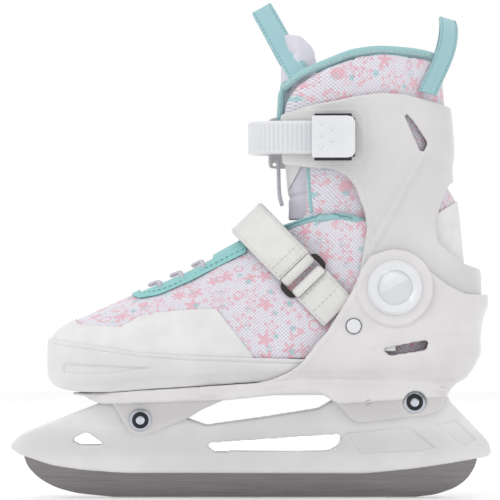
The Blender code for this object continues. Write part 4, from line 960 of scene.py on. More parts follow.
def emboss(mesh, *details):
    """Moves the faces that look sideways along their normals. Each detail is (kind, corners, height, width, side): a
    raised or sunk area, a rim inside its edge, or a line; side is -1 outer, 1 inner, 0 both."""
    points, normals = points_of(mesh)
    facing = eased((np.abs(normals[:, 1]) - 0.2) / 0.25)
    moved = np.zeros(len(points))
    for kind, corners, height, width, where in details:
        reach = [side(*corner[:2]) for corner in corners]
        low, high = np.min(reach, axis=0) - 6, np.max(reach, axis=0) + 6
        near = np.all((points[:, ::2] > low) & (points[:, ::2] < high), axis=1)
        if where:
            near &= np.sign(points[:, 1]) == where
        chosen = np.flatnonzero(near)
        if not len(chosen):
            continue
        if kind == "line":
            amount = np.exp(-((line_distance(points[chosen][:, ::2], corners) / width) ** 2))
        else:
            depth = line_distance(points[chosen][:, ::2], corners, closed=True)
            amount = eased(depth / 0.9 + 0.5)
            if kind == "rim":
                amount -= eased((depth - width) / 0.9 + 0.5)
        moved[chosen] += height * amount
    set_points(mesh, points + normals * (moved * facing)[:, None])
    return mesh


def turned(centre, profile, sides=72):
    """A solid turned about an axis along Y: profile is (radius, y) pairs from the axis round to the axis."""
    rings = []
    for radius, y in profile:
        angles = [2 * math.pi * i / sides for i in range(sides)]
        rings.append(
            [
                (
                    centre[0] + max(radius, 0.01) * math.cos(a), y,
                    centre[1] + max(radius, 0.01) * math.sin(a)
                ) for a in angles
            ]
        )
    return loft(rings)


def band(path, across, outs, width, thickness, columns=10, height=None, edge=0.45):
    """A strap with rounded edges: across and outs are unit vectors at each point, and height(s, t) lifts its outer face."""
    path = [Vector(point) for point in path]
    rings, length = [], 0.0
    for i, point in enumerate(path):
        length += (point - path[i - 1]).length if i else 0.0
        wide = Vector(across[i] if isinstance(across, list) else across)
        out = Vector(outs[i])
        top, bottom = [], []
        for k in range(columns + 1):
            t = -1 + 2 * k / columns
            rim = max(0.0, 1 - ((1 - abs(t)) * width / 2 / edge)) if edge else 0.0
            drop = thickness / 2 * (1 - math.sqrt(max(0.0, 1 - rim * rim)))
            lift = height(length, t) if height else 0.0
            top.append(point + wide * (t * width / 2) + out * (thickness / 2 - drop + lift))
            bottom.append(point + wide * (t * width / 2) - out * (thickness / 2 - drop))
        rings.append(top + bottom[::-1])
    return loft(rings)


def tree_of(mesh):
    points, _ = points_of(mesh)
    mesh.calc_loop_triangles()
    return BVHTree.FromPolygons([Vector(p) for p in points], [tuple(t.vertices) for t in mesh.loop_triangles])


def laid(tree, corners, where=-1, steps=60, lift=0.0):
    """Points (and normals) on the surface seen from the side, along a line of (x, z) corners."""
    found = []
    for x, z in along_points([side(*corner) for corner in corners], steps):
        hit, normal, _, _ = tree.ray_cast(Vector((x, where * 150, z)), Vector((0, -where, 0)))
        if hit is not None:
            normal = normal if normal.y * where > 0 else -normal
            found.append((hit + normal * lift, normal))
    return found


def stitches(name, runs, look, body, length=2.4, gap=1.1, radius=0.26):
    """Rows of thread stitches, each a small sunk capsule. runs are lists of (point, normal)."""
    points, faces = [], []
    for run in runs:
        places = np.array([point for point, _ in run], float)
        ups = np.array([normal for _, normal in run], float)
        steps = np.concatenate([[0], np.cumsum(np.linalg.norm(np.diff(places, axis=0), axis=1))])
        start = gap / 2
        while start + length < steps[-1]:
            base = len(points)
            for share, size, rise in (
                (0, 0.35, -0.15), (0.12, 0.8, 0.1), (0.5, 1.0, 0.22), (0.88, 0.8, 0.1), (1, 0.35, -0.15)
            ):
                s = start + share * length
                at = np.array([np.interp(s, steps, places[:, k]) for k in range(3)])
                ahead = np.array([np.interp(s + 0.2, steps, places[:, k]) for k in range(3)])
                up = Vector([np.interp(s, steps, ups[:, k]) for k in range(3)]).normalized()
                along = Vector(ahead - at)
                along = along.normalized() if along.length > 1e-6 else Vector((1, 0, 0))
                wide = along.cross(up).normalized()
                for turn in range(6):
                    angle = math.pi * turn / 3
                    points.append(
                        Vector(at) + up * (
                            rise + size * radius * math.sin(angle)
                        ) + wide * (size * radius * math.cos(angle))
                    )
            for row in range(4):
                for turn in range(6):
                    a, b = base + row * 6 + turn, base + row * 6 + (turn + 1) % 6
                    faces.append((a, b, b + 6, a + 6))
            faces += [tuple(range(base + 5, base - 1, -1)), tuple(range(base + 24, base + 30))]
            start += length + gap
    return piece(name, mesh_of(points, faces), look, body)


# ---------------------------------------------------------------- runner

FRONT_BOLT = side(-65.5, 46.7)
REAR_BOLT = side(99.1, 57.5)
PIVOT = side(86.8, 126.4)
BUTTON = side(62.2, 103.4)
CHEEK_IN = HOLDER_POST_WIDTH / 2 + FIT_GAP
CHEEK_OUT = CHEEK_IN + CHEEK_WALL
FAR = 90.0 * WIDTH_STRETCH  # a half width that clears every side wall


def make_blade():
    outline = rounded(
        [(-136, 24.6), (-133.8, 18.4, 30), (-127.5, 11.6, 30), (-117, 5.6, 40), (-104, 2.2, 60), (-82, 0), (100, 0),
         (112, 1.4, 40), (124, 5.4, 40), (131.5, 11, 30), (136, 18.5, 30), (137.2, 23), (125, 26.5), (-124, 26.5)]
    )
    add("blade", prism(outline, -BLADE_THICKNESS / 2, BLADE_THICKNESS / 2))


def holder_half_width(z):
    """The rail's half width, growing upwards to the posts between the chassis cheeks."""
    low, high = side_z(24), side_z(44)
    share = min(max((z - low) / (high - low), 0.0), 1.0)
    return HOLDER_RAIL_WIDTH / 2 + (
        HOLDER_POST_WIDTH - HOLDER_RAIL_WIDTH
    ) / 2 * share * share * (3 - 2 * share)


def make_blade_holder():
    outline = rounded(
        [(-145.4, 30.5, 7), (-137.6, 25.4, 12), (-119, 19.2, 60), (-100.7, 16.4, 90), (-76, 14.6, 150), (71, 14.4, 150),
         (99.8, 17.3, 90), (119, 20.2, 60), (146.5, 25, 7), (143.5, 34, 12), (120.9, 57.3, 5), (118, 63), (56, 63),
         (49.2, 57.8, 6), (41.6, 53.3, 20), (8.6, 48.1, 60), (-25.9, 43.3, 12), (-37.6, 47.4, 10), (-50, 56.2),
         (-91, 56.2, 6), (-137.4, 38.2, 20)]
    )
    windows = (
        [(-108.6, 34.5, 2), (-97.9, 40, 2), (-86, 31.2, 1.5), (-101, 31.2, 8)],
        [(-25.9, 33, 6), (57.2, 38.8, 3), (51.5, 27.8, 9), (-23.5, 27.1, 5)],
    )
    slot = rounded([(-160, 27), (-160, -5), (160, -5), (160, 27)])
    slot_half = BLADE_THICKNESS / 2 + FIT_GAP
    holder = cut(prism(outline, -40, 40), *[prism(rounded(window), -50, 50) for window in windows])
    levels = [side_z(z) for z in range(20, 50, 2)]
    holder = shaped_across(holder, levels, holder_half_width)
    bolts = [disc(bolt, BOLT_RADIUS + HOLE_GAP, -50, 50) for bolt in (FRONT_BOLT, REAR_BOLT)]
    add("blade_holder", cut(holder, prism(slot, -slot_half, slot_half), *bolts))


def make_bolt(name, centre):
    """A through bolt as it shows: the domed head, a washer on each side and, on the inner side, a sleeve nut."""
    washer_in = CHEEK_OUT + FIT_GAP
    washer_out = washer_in + WASHER_THICKNESS
    head_in = washer_out + FIT_GAP
    nut_out = head_in + BOLT_HEAD_HEIGHT
    add(name + "_bolt", bolt_head(name, centre))
    bore = disc(centre, BOLT_RADIUS + HOLE_GAP, -99, 99)
    for place, sign in (("outer", -1), ("inner", 1)):
        washer = disc(centre, WASHER_RADIUS, *sorted((sign * washer_in, sign * washer_out)))
        add(f"{name}_washer_{place}", cut(washer, bore))
    nut = disc(centre, BOLT_HEAD_RADIUS, head_in, nut_out, 64, BOLT_HEAD_RADIUS * 0.8)
    add(name + "_nut", cut(nut, bore))


# ---------------------------------------------------------------- chassis

SHELL_EDGE = [
    (-30, 62), (-30, 67.2), (-5.4, 68.5, 10), (4.2, 69.4, 10), (14, 71.8, 12), (23.3, 75.7, 12), (31, 81.4, 14),
    (40.5, 93.8, 20), (46.3, 100.1, 14), (53.4, 111.6, 20), (61.4, 125, 20), (66, 136, 10), (71.6, 145.6, 4),
    (86, 149.6, 9), (93.6, 148.6, 6), (107.5, 136.3, 20), (118.2, 128.2, 20), (129, 122.6, 12), (146.5, 121.6),
    (146.5, 62),
]
HEEL_VENT = [(79.2, 90, 1.5), (107.4, 95.3, 2), (105.4, 89.2, 2), (83.6, 85.7, 2)]


def cheek_half_width(z):
    """The chassis posts, flaring from their cheeks at the bolts out to the deck."""
    low, high = side_z(50), side_z(64)
    share = min(max((z - low) / (high - low), 0.0), 1.0)
    return CHEEK_OUT + (foot_half_width(side_x(-60)) * 0.72 - CHEEK_OUT) * share**2


def deck_half_width(x, shrink=0.0):
    """The deck under the toe shell in front, and as wide as the heel shell behind."""
    share = min(max((x - side_x(-30)) / (side_x(10) - side_x(-30)), 0.0), 1.0)
    offset = TOE_OUT + (SHELL_OUT - TOE_OUT) * share * share * (3 - 2 * share)
    tip, rear = side_x(-107.4), side_x(131.4)
    width = (half_width(x, sole(x) - 1, offset) - shrink) * cap(TOE_ROUND_FROM - x, TOE_ROUND_FROM - tip, 2.2)
    return width * cap(x - HEEL_ROUND_FROM, rear - HEEL_ROUND_FROM, 2.2)


def make_deck():
    """The plate under the foot and the two posts that straddle the runner."""
    outline = rounded(
        [(-107.4, 62.8), (-105.6, 61.7, 1), (-98.8, 61.2, 2), (-95.8, 59.2, 2), (-88, 56.4, 6), (-14.2, 59.1, 20),
         (25.1, 63.2, 30), (40.3, 64.5, 8), (46, 61.2, 8), (52.3, 56.6, 4), (118.4, 60.8, 3), (119.6, 64, 4),
         (123.5, 68.6, 6), (131.4, 72.0), (60, 70.6), (4, 69.4), (-17, 68), (-55, 65.6), (-93, 63.2)]
    )
    stations = [
        side_x(-107.4) + (
            side_x(131.4) - side_x(-107.4)
        ) * (1 - math.cos(math.pi * i / 60)) / 2 for i in range(61)
    ]
    plan = [(x, deck_half_width(x)) for x in stations[1:-1]]
    edge = [(stations[0], 0.0)] + plan + [(stations[-1], 0.0)] + [(x, -y) for x, y in reversed(plan)]
    plate = loft([[(x, y, z) for x, y in edge] for z in (side_z(40), side_z(80))])
    deck = common(prism(outline, -FAR, FAR), plate)
    posts = []
    for corners in (
        [(-83, 58), (-72.5, 39.7, 5), (-65.8, 36.6, 6), (-58, 38.8, 6), (-37.6, 47.4, 20), (-27.9, 53.3, 12), (-14.2, 59.4),
         (-14.2, 64), (-83, 62)],
        [
            (51, 58), (60.8, 46.8, 8), (66.5, 44.6, 6), (75, 45.8, 10), (109.8, 50, 8), (116.4, 54.4, 6),
            (118, 61.0), (118, 66), (51, 66)
        ],
    ):
        solid = prism(rounded(corners), -40, 40)
        posts.append(shaped_across(solid, [side_z(z) for z in range(50, 63)], cheek_half_width))
    return join(deck, *posts)


def make_chassis():
    outer = heel_form(SHELL_OUT, side_z(58), side_z(152))
    inner = heel_form(SHELL_IN, side_z(50), side_z(160), front=-70)
    wall = common(cut(outer, inner), prism(rounded(SHELL_EDGE), -FAR, FAR))
    boss_in = pivot_surface(SHELL_IN) + 0.6
    boss_out = pivot_surface(SHELL_OUT) + PIVOT_BOSS_HEIGHT
    bosses = [disc(PIVOT, PIVOT_BOSS_RADIUS, boss_in, boss_out)]
    bosses.append(mirrored(bosses[0]))
    chassis = join(wall, make_deck(), *bosses)
    slot = prism(
        rounded([(-150, 30), (150, 30), (150, 58.6 + 5), (45, 63.6), (-30, 57), (-150, 56.8)]), -CHEEK_IN,
        CHEEK_IN
    )
    cutters = [slot, prism(rounded(HEEL_VENT), -FAR, FAR)]
    for bolt in (FRONT_BOLT, REAR_BOLT):
        seat = disc(bolt, WASHER_RADIUS + HOLE_GAP, CHEEK_OUT, FAR)
        cutters += [disc(bolt, BOLT_RADIUS + HOLE_GAP, -FAR, FAR), seat, mirrored(seat)]
    cutters.append(disc(PIVOT, PIVOT_RADIUS + HOLE_GAP, -FAR, FAR))
    head_seat = disc(PIVOT, PIVOT_HEAD_RADIUS + HOLE_GAP, boss_out - PIVOT_HEAD_HEIGHT - FIT_GAP, FAR)
    cutters += [head_seat, mirrored(head_seat), disc(BUTTON, BUTTON_RADIUS + HOLE_GAP, -FAR, 0)]
    add("chassis_shell", cut(chassis, *cutters))


def pivot_surface(offset):
    """How far out a layer of the heel lies at the cuff pivot."""
    return half_width(PIVOT[0], PIVOT[1], offset)


def cuff_half(x, z, offset):
    """Half the cuff's width at a place in its side walls."""
    reach = cuff_rear(z) - LEG_MIDDLE if x > LEG_MIDDLE else LEG_MIDDLE - cuff_front(z)
    return (cuff_width(z) + offset) * cap(abs(x - LEG_MIDDLE), reach + offset, LEG_POWER)


def make_pivots():
    """Each side's pivot: a bolt through shell and cuff, a flat nut inside, and a snapped-on cap outside."""
    boss_out = pivot_surface(SHELL_OUT) + PIVOT_BOSS_HEIGHT
    nut_out = cuff_half(PIVOT[0] + PIVOT_NUT_RADIUS, PIVOT[1], -CUFF_WALL) - 2 * FIT_GAP
    nut_in = nut_out - PIVOT_NUT_THICKNESS
    head_out = boss_out - FIT_GAP
    shank = disc(PIVOT, PIVOT_RADIUS, nut_in, head_out - PIVOT_HEAD_HEIGHT + 0.3)
    bolt = join(shank, disc(PIVOT, PIVOT_HEAD_RADIUS, head_out - PIVOT_HEAD_HEIGHT, head_out))
    nut = cut(disc(PIVOT, PIVOT_NUT_RADIUS, nut_in, nut_out), disc(PIVOT, PIVOT_RADIUS + HOLE_GAP, 0, FAR))
    cap_in = boss_out + FIT_GAP
    cover = join(
        disc(PIVOT, PIVOT_CAP_RADIUS, cap_in, cap_in + PIVOT_CAP_HEIGHT * 0.5),
        disc(
            PIVOT, PIVOT_CAP_RADIUS, cap_in + PIVOT_CAP_HEIGHT * 0.4, cap_in + PIVOT_CAP_HEIGHT, 64,
            PIVOT_CAP_RADIUS - 1.5
        ),
    )
    dish = disc(PIVOT, 10.5, cap_in + PIVOT_CAP_HEIGHT - 1.2, FAR)
    for name, mesh in (("pivot_bolt", bolt), ("pivot_nut", nut), ("pivot_cap", cut(cover, dish))):
        add(name + "_inner", mesh)
        add(name + "_outer", mirrored(mesh))


def make_size_button():
    """The sprung button that frees the toe: its head in the shell's hole, a flange behind the wall and a washer behind
    the flange.
    """
    shell_in = half_width(BUTTON[0], BUTTON[1], SHELL_IN)
    shell_out = half_width(BUTTON[0], BUTTON[1], SHELL_OUT)
    flange_out = shell_in - 2 * FIT_GAP
    flange_in = flange_out - BUTTON_FLANGE_THICKNESS
    head = disc(BUTTON, BUTTON_RADIUS, flange_out - 0.3, shell_out + BUTTON_PROUD)
    flange = disc(BUTTON, BUTTON_RADIUS + BUTTON_FLANGE, flange_in, flange_out)
    add("size_button", mirrored(join(head, flange)))
    spring_out, spring_in = flange_in - FIT_GAP, flange_in - FIT_GAP - 1.2
    washer = disc(BUTTON, BUTTON_RADIUS, spring_in, spring_out)
    washer = cut(washer, disc(BUTTON, BUTTON_STEM_RADIUS, 0, FAR))
    add("button_spring", mirrored(washer))


# ---------------------------------------------------------------- toe box, upper and liner

SPLIT_FRONT = -22.0
QUARTER_TOP = [
    (8, 157), (24.2, 163.4, 20), (37.7, 167.4, 20), (56, 168.6, 20), (72, 166, 20), (100, 162, 20), (150, 160)
]


def make_toe():
    rear = 58.0
    edge = [
        (-130, 97), (-107.5, 93.8, 20), (-64.4, 87.6, 60), (-35.8, 85.7, 40), (rear, 83.0), (rear, 55),
        (-130, 55)
    ]
    form = cut(foot_form(TOE_OUT), foot_form(TOE_IN, past_rear=5.0))
    add("toe_shell", common(form, prism(rounded(edge), -FAR, FAR)))
    tongue = cut(foot_form(-0.4), foot_form(UPPER_IN, past_rear=5.0))
    place = prism(
        rounded([(-65.4, 90), (SPLIT_FRONT, 90), (SPLIT_FRONT, 200), (-65.4, 200)]), 0.5 - THROAT_HALF_WIDTH,
        THROAT_HALF_WIDTH - 0.5
    )
    add("vamp_tongue", common(tongue, place))


def rack_heights():
    return side_z(88.5), BUTTON[1] - BUTTON_RADIUS - BUTTON_FLANGE - FIT_GAP


def rack_face():
    """How far out the size rack's inner face lies."""
    return half_width(BUTTON[0], BUTTON[1], LAYER_GAP)


def make_size_rack():
    """The toothed strip that the toe shell carries back inside the heel shell, one notch for each size."""
    notch = SIZE_STEP / 2 - 0.5
    start, end = BUTTON[0] - 4.5, BUTTON[0] + SIZE_STEP * SIZE_STEPS + 5.0
    low, high = rack_heights()
    base = rack_face()
    outline = [(start, low), (end, low), (end, high), (start, high)]
    strip = prism(outline, -base - RACK_THICKNESS, -base)
    places = [(BUTTON[0] + SIZE_STEP * step, high + notch * 0.3) for step in range(SIZE_STEPS + 1)]
    notches = [disc(place, notch, -FAR, 0) for place in places]
    add("size_rack", cut(strip, *notches))


def liner_solid():
    outer = join(
        foot_form(LINER_OUT), heel_form(LINER_OUT, sole(side_x(135)) - LINER_OUT, side_z(125), front=30)
    )
    outer = join(outer, liner_leg(0.0, 104, 282))
    inner = join(
        foot_form(LINER_IN, past_rear=5.0),
        heel_form(LINER_IN, sole(side_x(135)) - LINER_IN, side_z(127), front=28)
    )
    return cut(outer, join(inner, liner_leg(-LINER_WALL, 98, 300)))


def make_footbed():
    """The loose insole on the liner's floor."""
    drawn = (
        (-94, 13), (-86, 23), (-62, 32), (-30, 33.5), (0, 31), (30, 28), (70, 26.5), (100, 25), (114, 17),
        (120, 6)
    )
    edge = smooth_curve([(side_x(x), y * WIDTH_STRETCH) for x, y in drawn])
    rings = []
    for place in (-93, -85, -75, -55, -30, 0, 35, 70, 100, 110, 116, 120):
        x = side_x(place)
        low = sole(x) - LINER_IN + FIT_GAP
        corners = ((-1, 0), (1, 0), (1, 1), (-1, 1))
        rings.append([(x, edge(x) * a, low + FOOTBED_THICKNESS * b) for a, b in corners])
    add("footbed", loft(rings))


def make_tongue():
    """The tongue, carried down behind the laces to the upper's edge."""
    shape = cut(
        liner_leg(-LINER_WALL - 2.6, 160, 284), liner_leg(-LINER_WALL - 2.6 - TONGUE_THICKNESS, 156, 290)
    )
    outline = rounded([(8, 167), (46, 167), (46, 256), (38, 270, 8), (31, 277, 6), (21, 278.6, 4), (10, 270)])
    add("tongue", common(shape, prism(outline, -TONGUE_HALF_WIDTH, TONGUE_HALF_WIDTH)))


REAR_LOOP = (
    (106.2, 38.5, 242.5), (109.8, 35, 250), (115.0, 28.5, 261), (119.2, 19, 274), (120.0, 9, 284),
    (119.4, 0, 287.6)
)


# ---------------------------------------------------------------- cuff

CUFF_EDGE = [
    (37.2, 235.4, 20), (52, 238.2, 30), (64.8, 241, 30), (78.6, 242.6, 30), (92.4, 242, 30), (110.8, 237.2, 20), (130, 231.8),
    (130, 190), (120.1, 188.8, 3), (114.3, 175, 20), (111, 165, 10), (112.6, 154.4, 8), (119.4, 147.5, 10), (128.5, 140.7, 10),
    (146, 134.6), (146, 107), (118, 107, 10), (100, 110, 8), (87, 106.5, 16), (70, 112, 10), (65.4, 125, 10), (65.2, 132.6, 20),
    (68.4, 150.7, 30), (70, 161, 20), (69, 170.2, 20), (63, 186.8, 20), (57.5, 193.2, 8), (50, 197.2, 6), (37.3, 197.8, 10),
]
OUTER_TAB = [(19.6, 199.6, 3), (18.4, 229.6, 3)]
INNER_TAB = [(11.4, 198.2, 3), (11.4, 228.4, 3)]
CUFF_VENT = [(90.6, 233.4, 2), (98, 225.4, 10), (106.6, 212.6, 3), (103, 205.4, 1.5)]


def make_cuff():
    wall = cut(cuff_leg(0.0, 104, 250), cuff_leg(-CUFF_WALL, 100, 256))
    outer_half = prism(rounded(CUFF_EDGE + OUTER_TAB), -FAR, 0.5)
    inner_half = prism(rounded(CUFF_EDGE + INNER_TAB), 0, FAR)
    cuff = common(wall, join(outer_half, inner_half))
    holes = [disc(PIVOT, PIVOT_RADIUS + HOLE_GAP, -FAR, FAR, 16), prism(rounded(CUFF_VENT), -FAR, FAR)]
    lace_hole = disc((side_x(15), side_z(200.6)), 1.3, 0, FAR)
    add("cuff", cut(cut(cuff, *holes), lace_hole))


# ---------------------------------------------------------------- ladder strap and buckle

STRAP_LOW, STRAP_HIGH = side_z(206), side_z(206) + LADDER_WIDTH
STRAP_MIDDLE = (STRAP_LOW + STRAP_HIGH) / 2
CUFF_SIDE = cuff_width(STRAP_HIGH + BUCKLE_EAR + 3 * FIT_GAP)
ANCHOR = (side_x(60), CUFF_SIDE + STRAP_CLEARANCE + 0.6 + LADDER_THICKNESS / 2)
BASE_RADIUS = ANCHOR[1] + CUFF_SIDE + STRAP_CLEARANCE + 0.4
STRAP_RADIUS = BASE_RADIUS + BUCKLE_PLATE + STRAP_CLEARANCE + LADDER_THICKNESS / 2
STRAP_OUT = STRAP_RADIUS + LADDER_THICKNESS / 2 + LADDER_RIB_HEIGHT
PAWL_RADIUS = STRAP_OUT + STRAP_CLEARANCE + 1.2
EAR_OUT = PAWL_RADIUS + 1.2
LEVER_PIN_AT = EAR_OUT - 0.8
LEVER_RADIUS = LEVER_PIN_AT + LUG_RADIUS + FIT_GAP
BUCKLE_FRONT, BUCKLE_REAR = side_x(50) - BUCKLE_LENGTH / 2, side_x(50) + BUCKLE_LENGTH / 2
EAR_LOW, EAR_HIGH = STRAP_LOW - FIT_GAP, STRAP_HIGH + FIT_GAP


def arc_y(radius, x):
    """Where an arc round the strap's anchor passes, on the skate's outer side."""
    return ANCHOR[1] - math.sqrt(radius**2 - (x - ANCHOR[0]) ** 2)


LEVER_PIN = (BUCKLE_FRONT + LUG_RADIUS + 0.6, arc_y(LEVER_PIN_AT, BUCKLE_FRONT + LUG_RADIUS + 0.6))
PAWL_PIN = (BUCKLE_FRONT + 15.5, arc_y(PAWL_RADIUS, BUCKLE_FRONT + 15.5))


def arc_plate(inner, outer, x0, x1, z0, z1, steps=6):
    """A plate bent round the strap's anchor, so that the strap slides along it as it swings out."""
    xs = [x0 + (x1 - x0) * i / steps for i in range(steps + 1)]
    edge = [(x, arc_y(inner, x)) for x in xs] + [(x, arc_y(outer, x)) for x in reversed(xs)]
    return loft([[(x, y, z) for x, y in edge] for z in (z0, z1)])


def make_strap_anchor():
    front = ANCHOR[0] + LADDER_THICKNESS / 2 + 1.0
    low, high = STRAP_LOW + 1, STRAP_HIGH - 1
    plate_in = ANCHOR[1] - LADDER_THICKNESS / 2
    plate = block(front, front + 16, plate_in, plate_in + LADDER_THICKNESS, low, high)
    add("strap_anchor", plate)
    head_in = plate_in + LADDER_THICKNESS + FIT_GAP
    rivet = disc((front + 9, STRAP_MIDDLE), 4.5, head_in, head_in + 1.6, 24, 3.4)
    add("anchor_rivet", rivet)


def make_buckle():
    """The buckle on the outer side: a steel channel with two ears, a lever on one pin and a pawl on another."""
    ears = ((EAR_LOW - BUCKLE_EAR, EAR_LOW), (EAR_HIGH, EAR_HIGH + BUCKLE_EAR))
    bottom, top = ears[0][0], ears[1][1]
    front = BUCKLE_FRONT + 0.8
    shapes = [arc_plate(BASE_RADIUS + 0.2, EAR_OUT, front, BUCKLE_REAR, *ear) for ear in ears]
    shapes += [rod(*LEVER_PIN, LUG_RADIUS, *ear) for ear in ears]
    plate = arc_plate(BASE_RADIUS, BASE_RADIUS + BUCKLE_PLATE, front, BUCKLE_REAR, bottom, top)
    holes = []
    for name, place, radius in (
        ("lever_pin", LEVER_PIN, LEVER_PIN_RADIUS), ("pawl_pin", PAWL_PIN, PAWL_PIN_RADIUS)
    ):
        holes.append(rod(*place, radius + FIT_GAP, bottom - 5, top + 5))
        add(name, rod(*place, radius, bottom - PIN_PROUD, top + PIN_PROUD))
    add("buckle_base", cut(join(plate, *shapes), *holes))
    low, high = EAR_LOW + FIT_GAP, EAR_HIGH - FIT_GAP
    outer = LEVER_RADIUS + LEVER_THICKNESS
    cover = arc_plate(
        LEVER_RADIUS, outer, BUCKLE_FRONT, BUCKLE_REAR, bottom - LEVER_OVERHANG / 2, top + LEVER_OVERHANG
    )
    foot = arc_plate(LEVER_PIN_AT, LEVER_RADIUS + 0.5, LEVER_PIN[0] - 1.4, LEVER_PIN[0] + 1.4, low, high, 2)
    hub = rod(*LEVER_PIN, LUG_RADIUS, low, high)
    bore = rod(*LEVER_PIN, LEVER_PIN_RADIUS + FIT_GAP, low - 5, high + 5)
    add("buckle_lever", lever_form(cut(join(cover, foot, hub), bore)))
    x, y = PAWL_PIN
    tip = x - PAWL_REACH
    tip_y = arc_y(STRAP_OUT + FIT_GAP, tip)
    wedge = [
        (tip, tip_y), (tip, tip_y - 0.6), (x - 0.4, y - 1.2), (x + 1.2, y - 0.7), (x + 1.2, y + 0.7),
        (x - 0.2, y + 1.2)
    ]
    pawl = loft([[(px, py, z) for px, py in wedge] for z in (low + 2, high - 2)])
    bore = rod(*PAWL_PIN, PAWL_PIN_RADIUS + 0.15, low, high, 12)
    add("buckle_pawl", cut(pawl, bore))


# ---------------------------------------------------------------- instep strap

STRAP_TOP = Vector((side_x(-2.4), 0, side_z(169.0)))
STRAP_DOWN = Vector((side_x(53.4) - side_x(-2.4), 0, side_z(111.3) - side_z(169.0))).normalized()
STRAP_ACROSS = Vector((-STRAP_DOWN.z, 0, STRAP_DOWN.x))
RING_DEPTH = 49.5
RING_Y = -38.6
UPPER_BAR, LOWER_BAR = RING_DEPTH - RING_HALF_WIDTH, RING_DEPTH + RING_HALF_WIDTH
BAR_CLEAR = RING_BAR_RADIUS + 0.6


def strap_point(y, depth):
    """A point on the strap's middle line: y across the skate, depth below the strap's top."""
    return STRAP_TOP + STRAP_DOWN * depth + Vector((0, y * WIDTH_STRETCH, 0))


def make_ring():
    """The black ring between the strap and its tab: a rounded bar bent into a long loop."""
    centre, path = strap_point(RING_Y, RING_DEPTH), []
    for step in range(96):
        angle = 2 * math.pi * step / 96
        a, b = math.cos(angle), math.sin(angle)
        path.append(
            centre
            + STRAP_ACROSS * (RING_HALF_LENGTH * math.copysign(abs(a) ** 0.5, a))
            + STRAP_DOWN * (RING_HALF_WIDTH * math.copysign(abs(b) ** 0.5, b))
        )
    rings = []
    for i, point in enumerate(path):
        along = (path[(i + 1) % 96] - path[i - 1]).normalized()
        out = along.cross(Vector((0, 1, 0))).normalized()
        angles = [2 * math.pi * k / 20 for k in range(20)]
        rings.append(
            [point + (Vector((0, 1, 0)) * math.sin(a) + out * math.cos(a)) * RING_BAR_RADIUS for a in angles]
        )
    points = [p for ring in rings for p in ring]
    faces = [
        (i * 20 + k, i * 20 + (k + 1) % 20, (i + 1) % 96 * 20 + (k + 1) % 20, (i + 1) % 96 * 20 + k)
        for i in range(96)
        for k in range(20)
    ]
    add("strap_ring", mesh_of(points, faces))


# ---------------------------------------------------------------- finishing the hard pieces

# name: look, slot, body, way of rounding, its size in millimetres
FINISH = {
    "blade": ("blade_steel", "blade", "chassis", "bevel", 0.3),
    "blade_holder": ("holder_plastic", "holder", "chassis", "soft", 0.8),
    "chassis_shell": ("shell_plastic", "shell", "chassis", "soft", 0.95),
    "toe_shell": ("toe_plastic", "toe", "toe", "soft", 0.8),
    "size_rack": ("toe_plastic", "toe", "toe", "bevel", 0.2),
    "cuff": ("cuff_plastic", "cuff", "cuff", "soft", 0.8),
    "size_button": ("cap_plastic", "trim_plastic", "button", "bevel", 0.35),
    "button_spring": ("chrome", "spring", "chassis", "bevel", 0.15),
    "strap_anchor": ("strap_plastic", "trim_plastic", "cuff", "soft", 0.35),
    "anchor_rivet": ("chrome", "fasteners", "cuff", "bevel", 0.4),
    "lever_pin": ("chrome", "fasteners", "cuff", "bevel", 0.25),
    "pawl_pin": ("chrome", "fasteners", "cuff", "bevel", 0.2),
    "buckle_base": ("dark_steel", "buckle", "cuff", "soft", 0.3),
    "buckle_lever": ("cap_plastic", "trim_plastic", "lever", "soft", 0.32),
    "buckle_pawl": ("dark_steel", "buckle", "pawl", "bevel", 0.2),
    "strap_ring": ("ring_plastic", "ring", "chassis", "none", 0),
    "footbed": ("lining", "padding", "chassis", "soft", 1.2),
    "tongue": ("tongue_cloth", "padding", "cuff", "soft", 0.8),
    "vamp_tongue": ("white_leather", "vinyl", "toe", "none", 0),
}
for end in ("front", "rear"):
    FINISH[end + "_bolt"] = ("steel_dome", "fasteners", "chassis", "none", 0)
    for part in ("nut", "washer_outer", "washer_inner"):
        FINISH[f"{end}_{part}"] = ("chrome", "fasteners", "chassis", "bevel", 0.25)
for end in ("outer", "inner"):
    FINISH["pivot_bolt_" + end] = FINISH["pivot_nut_" + end] = (
        "chrome", "fasteners", "chassis", "bevel", 0.3
    )
    FINISH["pivot_cap_" + end] = ("cap_plastic", "trim_plastic", "chassis", "bevel", 0.5)


def circle(x, z, radius, steps=36):
    return [
        (
            x + radius * math.cos(2 * math.pi * i / steps), z + radius * math.sin(2 * math.pi * i / steps)
        ) for i in range(steps)
    ]


HOLDER_LINE = [
    (-145.4, 30.5), (-137.6, 25.4), (-119, 19.2), (-100.7, 16.4), (-76, 14.6), (71, 14.4), (99.8, 17.3), (119, 20.2),
    (146.5, 25), (143.5, 34), (120.9, 57.3), (118, 63), (56, 63), (49.2, 57.8), (41.6, 53.3), (8.6, 48.1), (-25.9, 43.3),
    (-37.6, 47.4), (-50, 56.2), (-91, 56.2), (-137.4, 38.2),
]
HOLDER_PANELS = (
    [(57.8, 38.8), (91.4, 42.5), (97, 41.9), (112.2, 29.6), (103.7, 27.2), (66, 26.0)],
    [(111, 44.4), (123.9, 46.8), (136.2, 34.6), (130.6, 31.2), (126.4, 31.8)],
)
HOLDER_WINDOWS = (
    [
        (-108.6, 34.5), (-97.9, 40), (-86, 31.2), (-101, 31.2)
    ], [(-25.9, 33), (57.2, 38.8), (51.5, 27.8), (-23.5, 27.1)],
)
VENT_POCKET = [(71.3, 90.2), (82.8, 81.7), (110, 86.0), (140, 86.5), (140, 99), (108, 98.5)]
